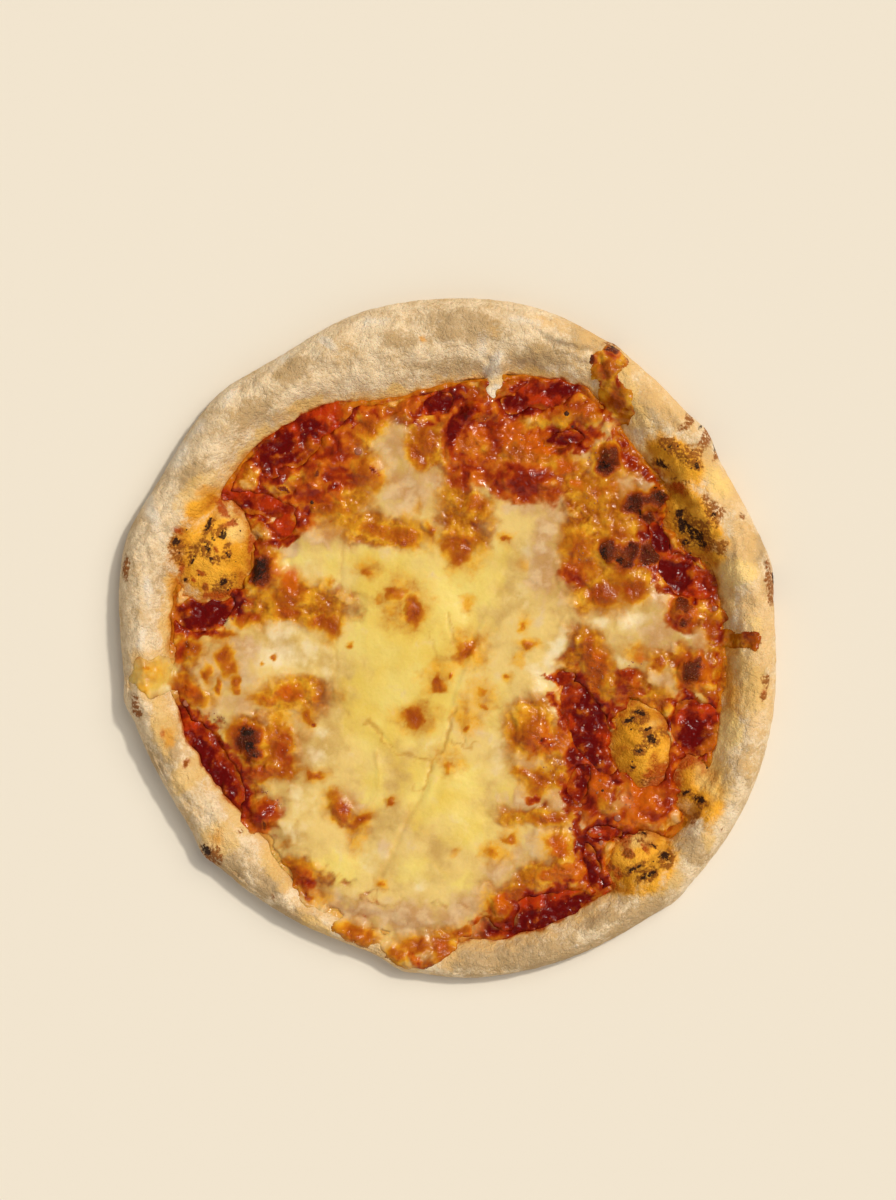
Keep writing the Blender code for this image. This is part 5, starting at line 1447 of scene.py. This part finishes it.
crumb_paint = Paint("burnt crumb", Base_Color=(0.06, 0.016, 0.005, 1.0), Roughness=0.7, Specular_IOR_Level=0.2)
crumb_places = list(CRUMBS) + scattered(CHARRED_PLACES, each=5, smallest=0.15, largest=0.3, seed=12)
burnt_crumbs = make_lumps("burnt_crumbs", crumb_places, squash=0.7, cragginess=0.9, paint=crumb_paint)

for piece in (fat_beads, burnt_crumbs):
    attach(piece, "root")

# %% [markdown]
# ## Riding on the frame
#
# Each fine mesh stands for one solid. The solid stays for collisions, but isn't drawn.

# %% What replaces what
for piece, node in ((fine_crust, "crust"), (fine_sauce, "tomato_sauce"), (fine_cheese, "melted_cheese")):
    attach(piece, "root")
    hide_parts(node)
    print(piece.name, "stands for", node)

# %% [markdown]
# ## Floor, light and camera
#
# The pizza lies on a plain pale floor and is seen from straight above, so the camera looks down from far
# enough away that the rim hides nothing. Two warm lamps at the upper right shape the relief: a small one
# for crisp glints and shadows, and a wide one that softens them. Two weak lamps from the left and from
# below, and the pale surroundings, fill the shadows.

# %% Floor
from mathutils import Vector

FLOOR_COLOUR = (0.787, 0.716, 0.598)
FLOOR_SIDE = 6.0
FLOOR_GAP = 0.0002

bpy.ops.mesh.primitive_plane_add(size=FLOOR_SIDE, location=(0.0, 0.0, -FLOOR_GAP))
floor = bpy.context.object
floor.name = "floor"
floor_paint = Paint("pale floor", Base_Color=(*FLOOR_COLOUR, 1.0), Roughness=0.9, Specular_IOR_Level=0.1)
floor.data.materials.append(floor_paint.material)

# %% Light
KEY_SIDE = (0.66, 0.52, 1.0)
LIGHTS = (
    ("small key light", KEY_SIDE, 5.0, 1.75, (1.0, 0.96, 0.89)),
    ("wide key light", KEY_SIDE, 45.0, 1.3, (1.0, 0.96, 0.90)),
    ("left fill", (-1.0, -0.9, 0.75), 50.0, 0.22, (0.98, 0.99, 1.0)),
    ("low fill", (0.2, -1.0, 0.75), 50.0, 0.38, (0.98, 0.99, 1.0)),
)
ROOM_COLOUR = (1.0, 0.98, 0.96, 1.0)
ROOM_STRENGTH = 0.28


def add_light(name, direction, spread, strength, colour):
    """A far lamp that lights everything evenly from a direction. spread is how wide it looks, in degrees."""
    lamp = bpy.data.lights.new(name, "SUN")
    lamp.angle = math.radians(spread)
    lamp.energy = strength
    lamp.color = colour
    holder = bpy.data.objects.new(name, lamp)
    holder.rotation_euler = Vector(direction).to_track_quat("Z", "Y").to_euler()
    holder.location = direction
    bpy.context.scene.collection.objects.link(holder)


for light in LIGHTS:
    add_light(*light)

world = bpy.data.worlds.new("pale room")
world.use_nodes = True
background = world.node_tree.nodes["Background"].inputs
background["Color"].default_value = ROOM_COLOUR
background["Strength"].default_value = ROOM_STRENGTH
bpy.context.scene.world = world
bpy.context.scene.view_settings.view_transform = "Standard"
print(len(LIGHTS), "lamps and a pale room")

# %% Camera
PHOTO_WIDTH = 896
MILLIMETRES_PER_PIXEL = 0.4
VIEW_CENTRE_Y = 0.0154
CAMERA_HEIGHT = 1.6
SENSOR = 36.0
RIM_TOP = 0.012

camera = bpy.data.objects.new("camera", bpy.data.cameras.new("camera"))
camera.location = (0.0, VIEW_CENTRE_Y, CAMERA_HEIGHT)
camera.data.sensor_fit = "HORIZONTAL"
camera.data.sensor_width = SENSOR
seen_width = PHOTO_WIDTH * MILLIMETRES_PER_PIXEL * METRES
camera.data.lens = SENSOR * (CAMERA_HEIGHT - RIM_TOP) / seen_width
bpy.context.scene.collection.objects.link(camera)
bpy.context.scene.camera = camera
print("the camera sees", round(seen_width, 3), "m across")
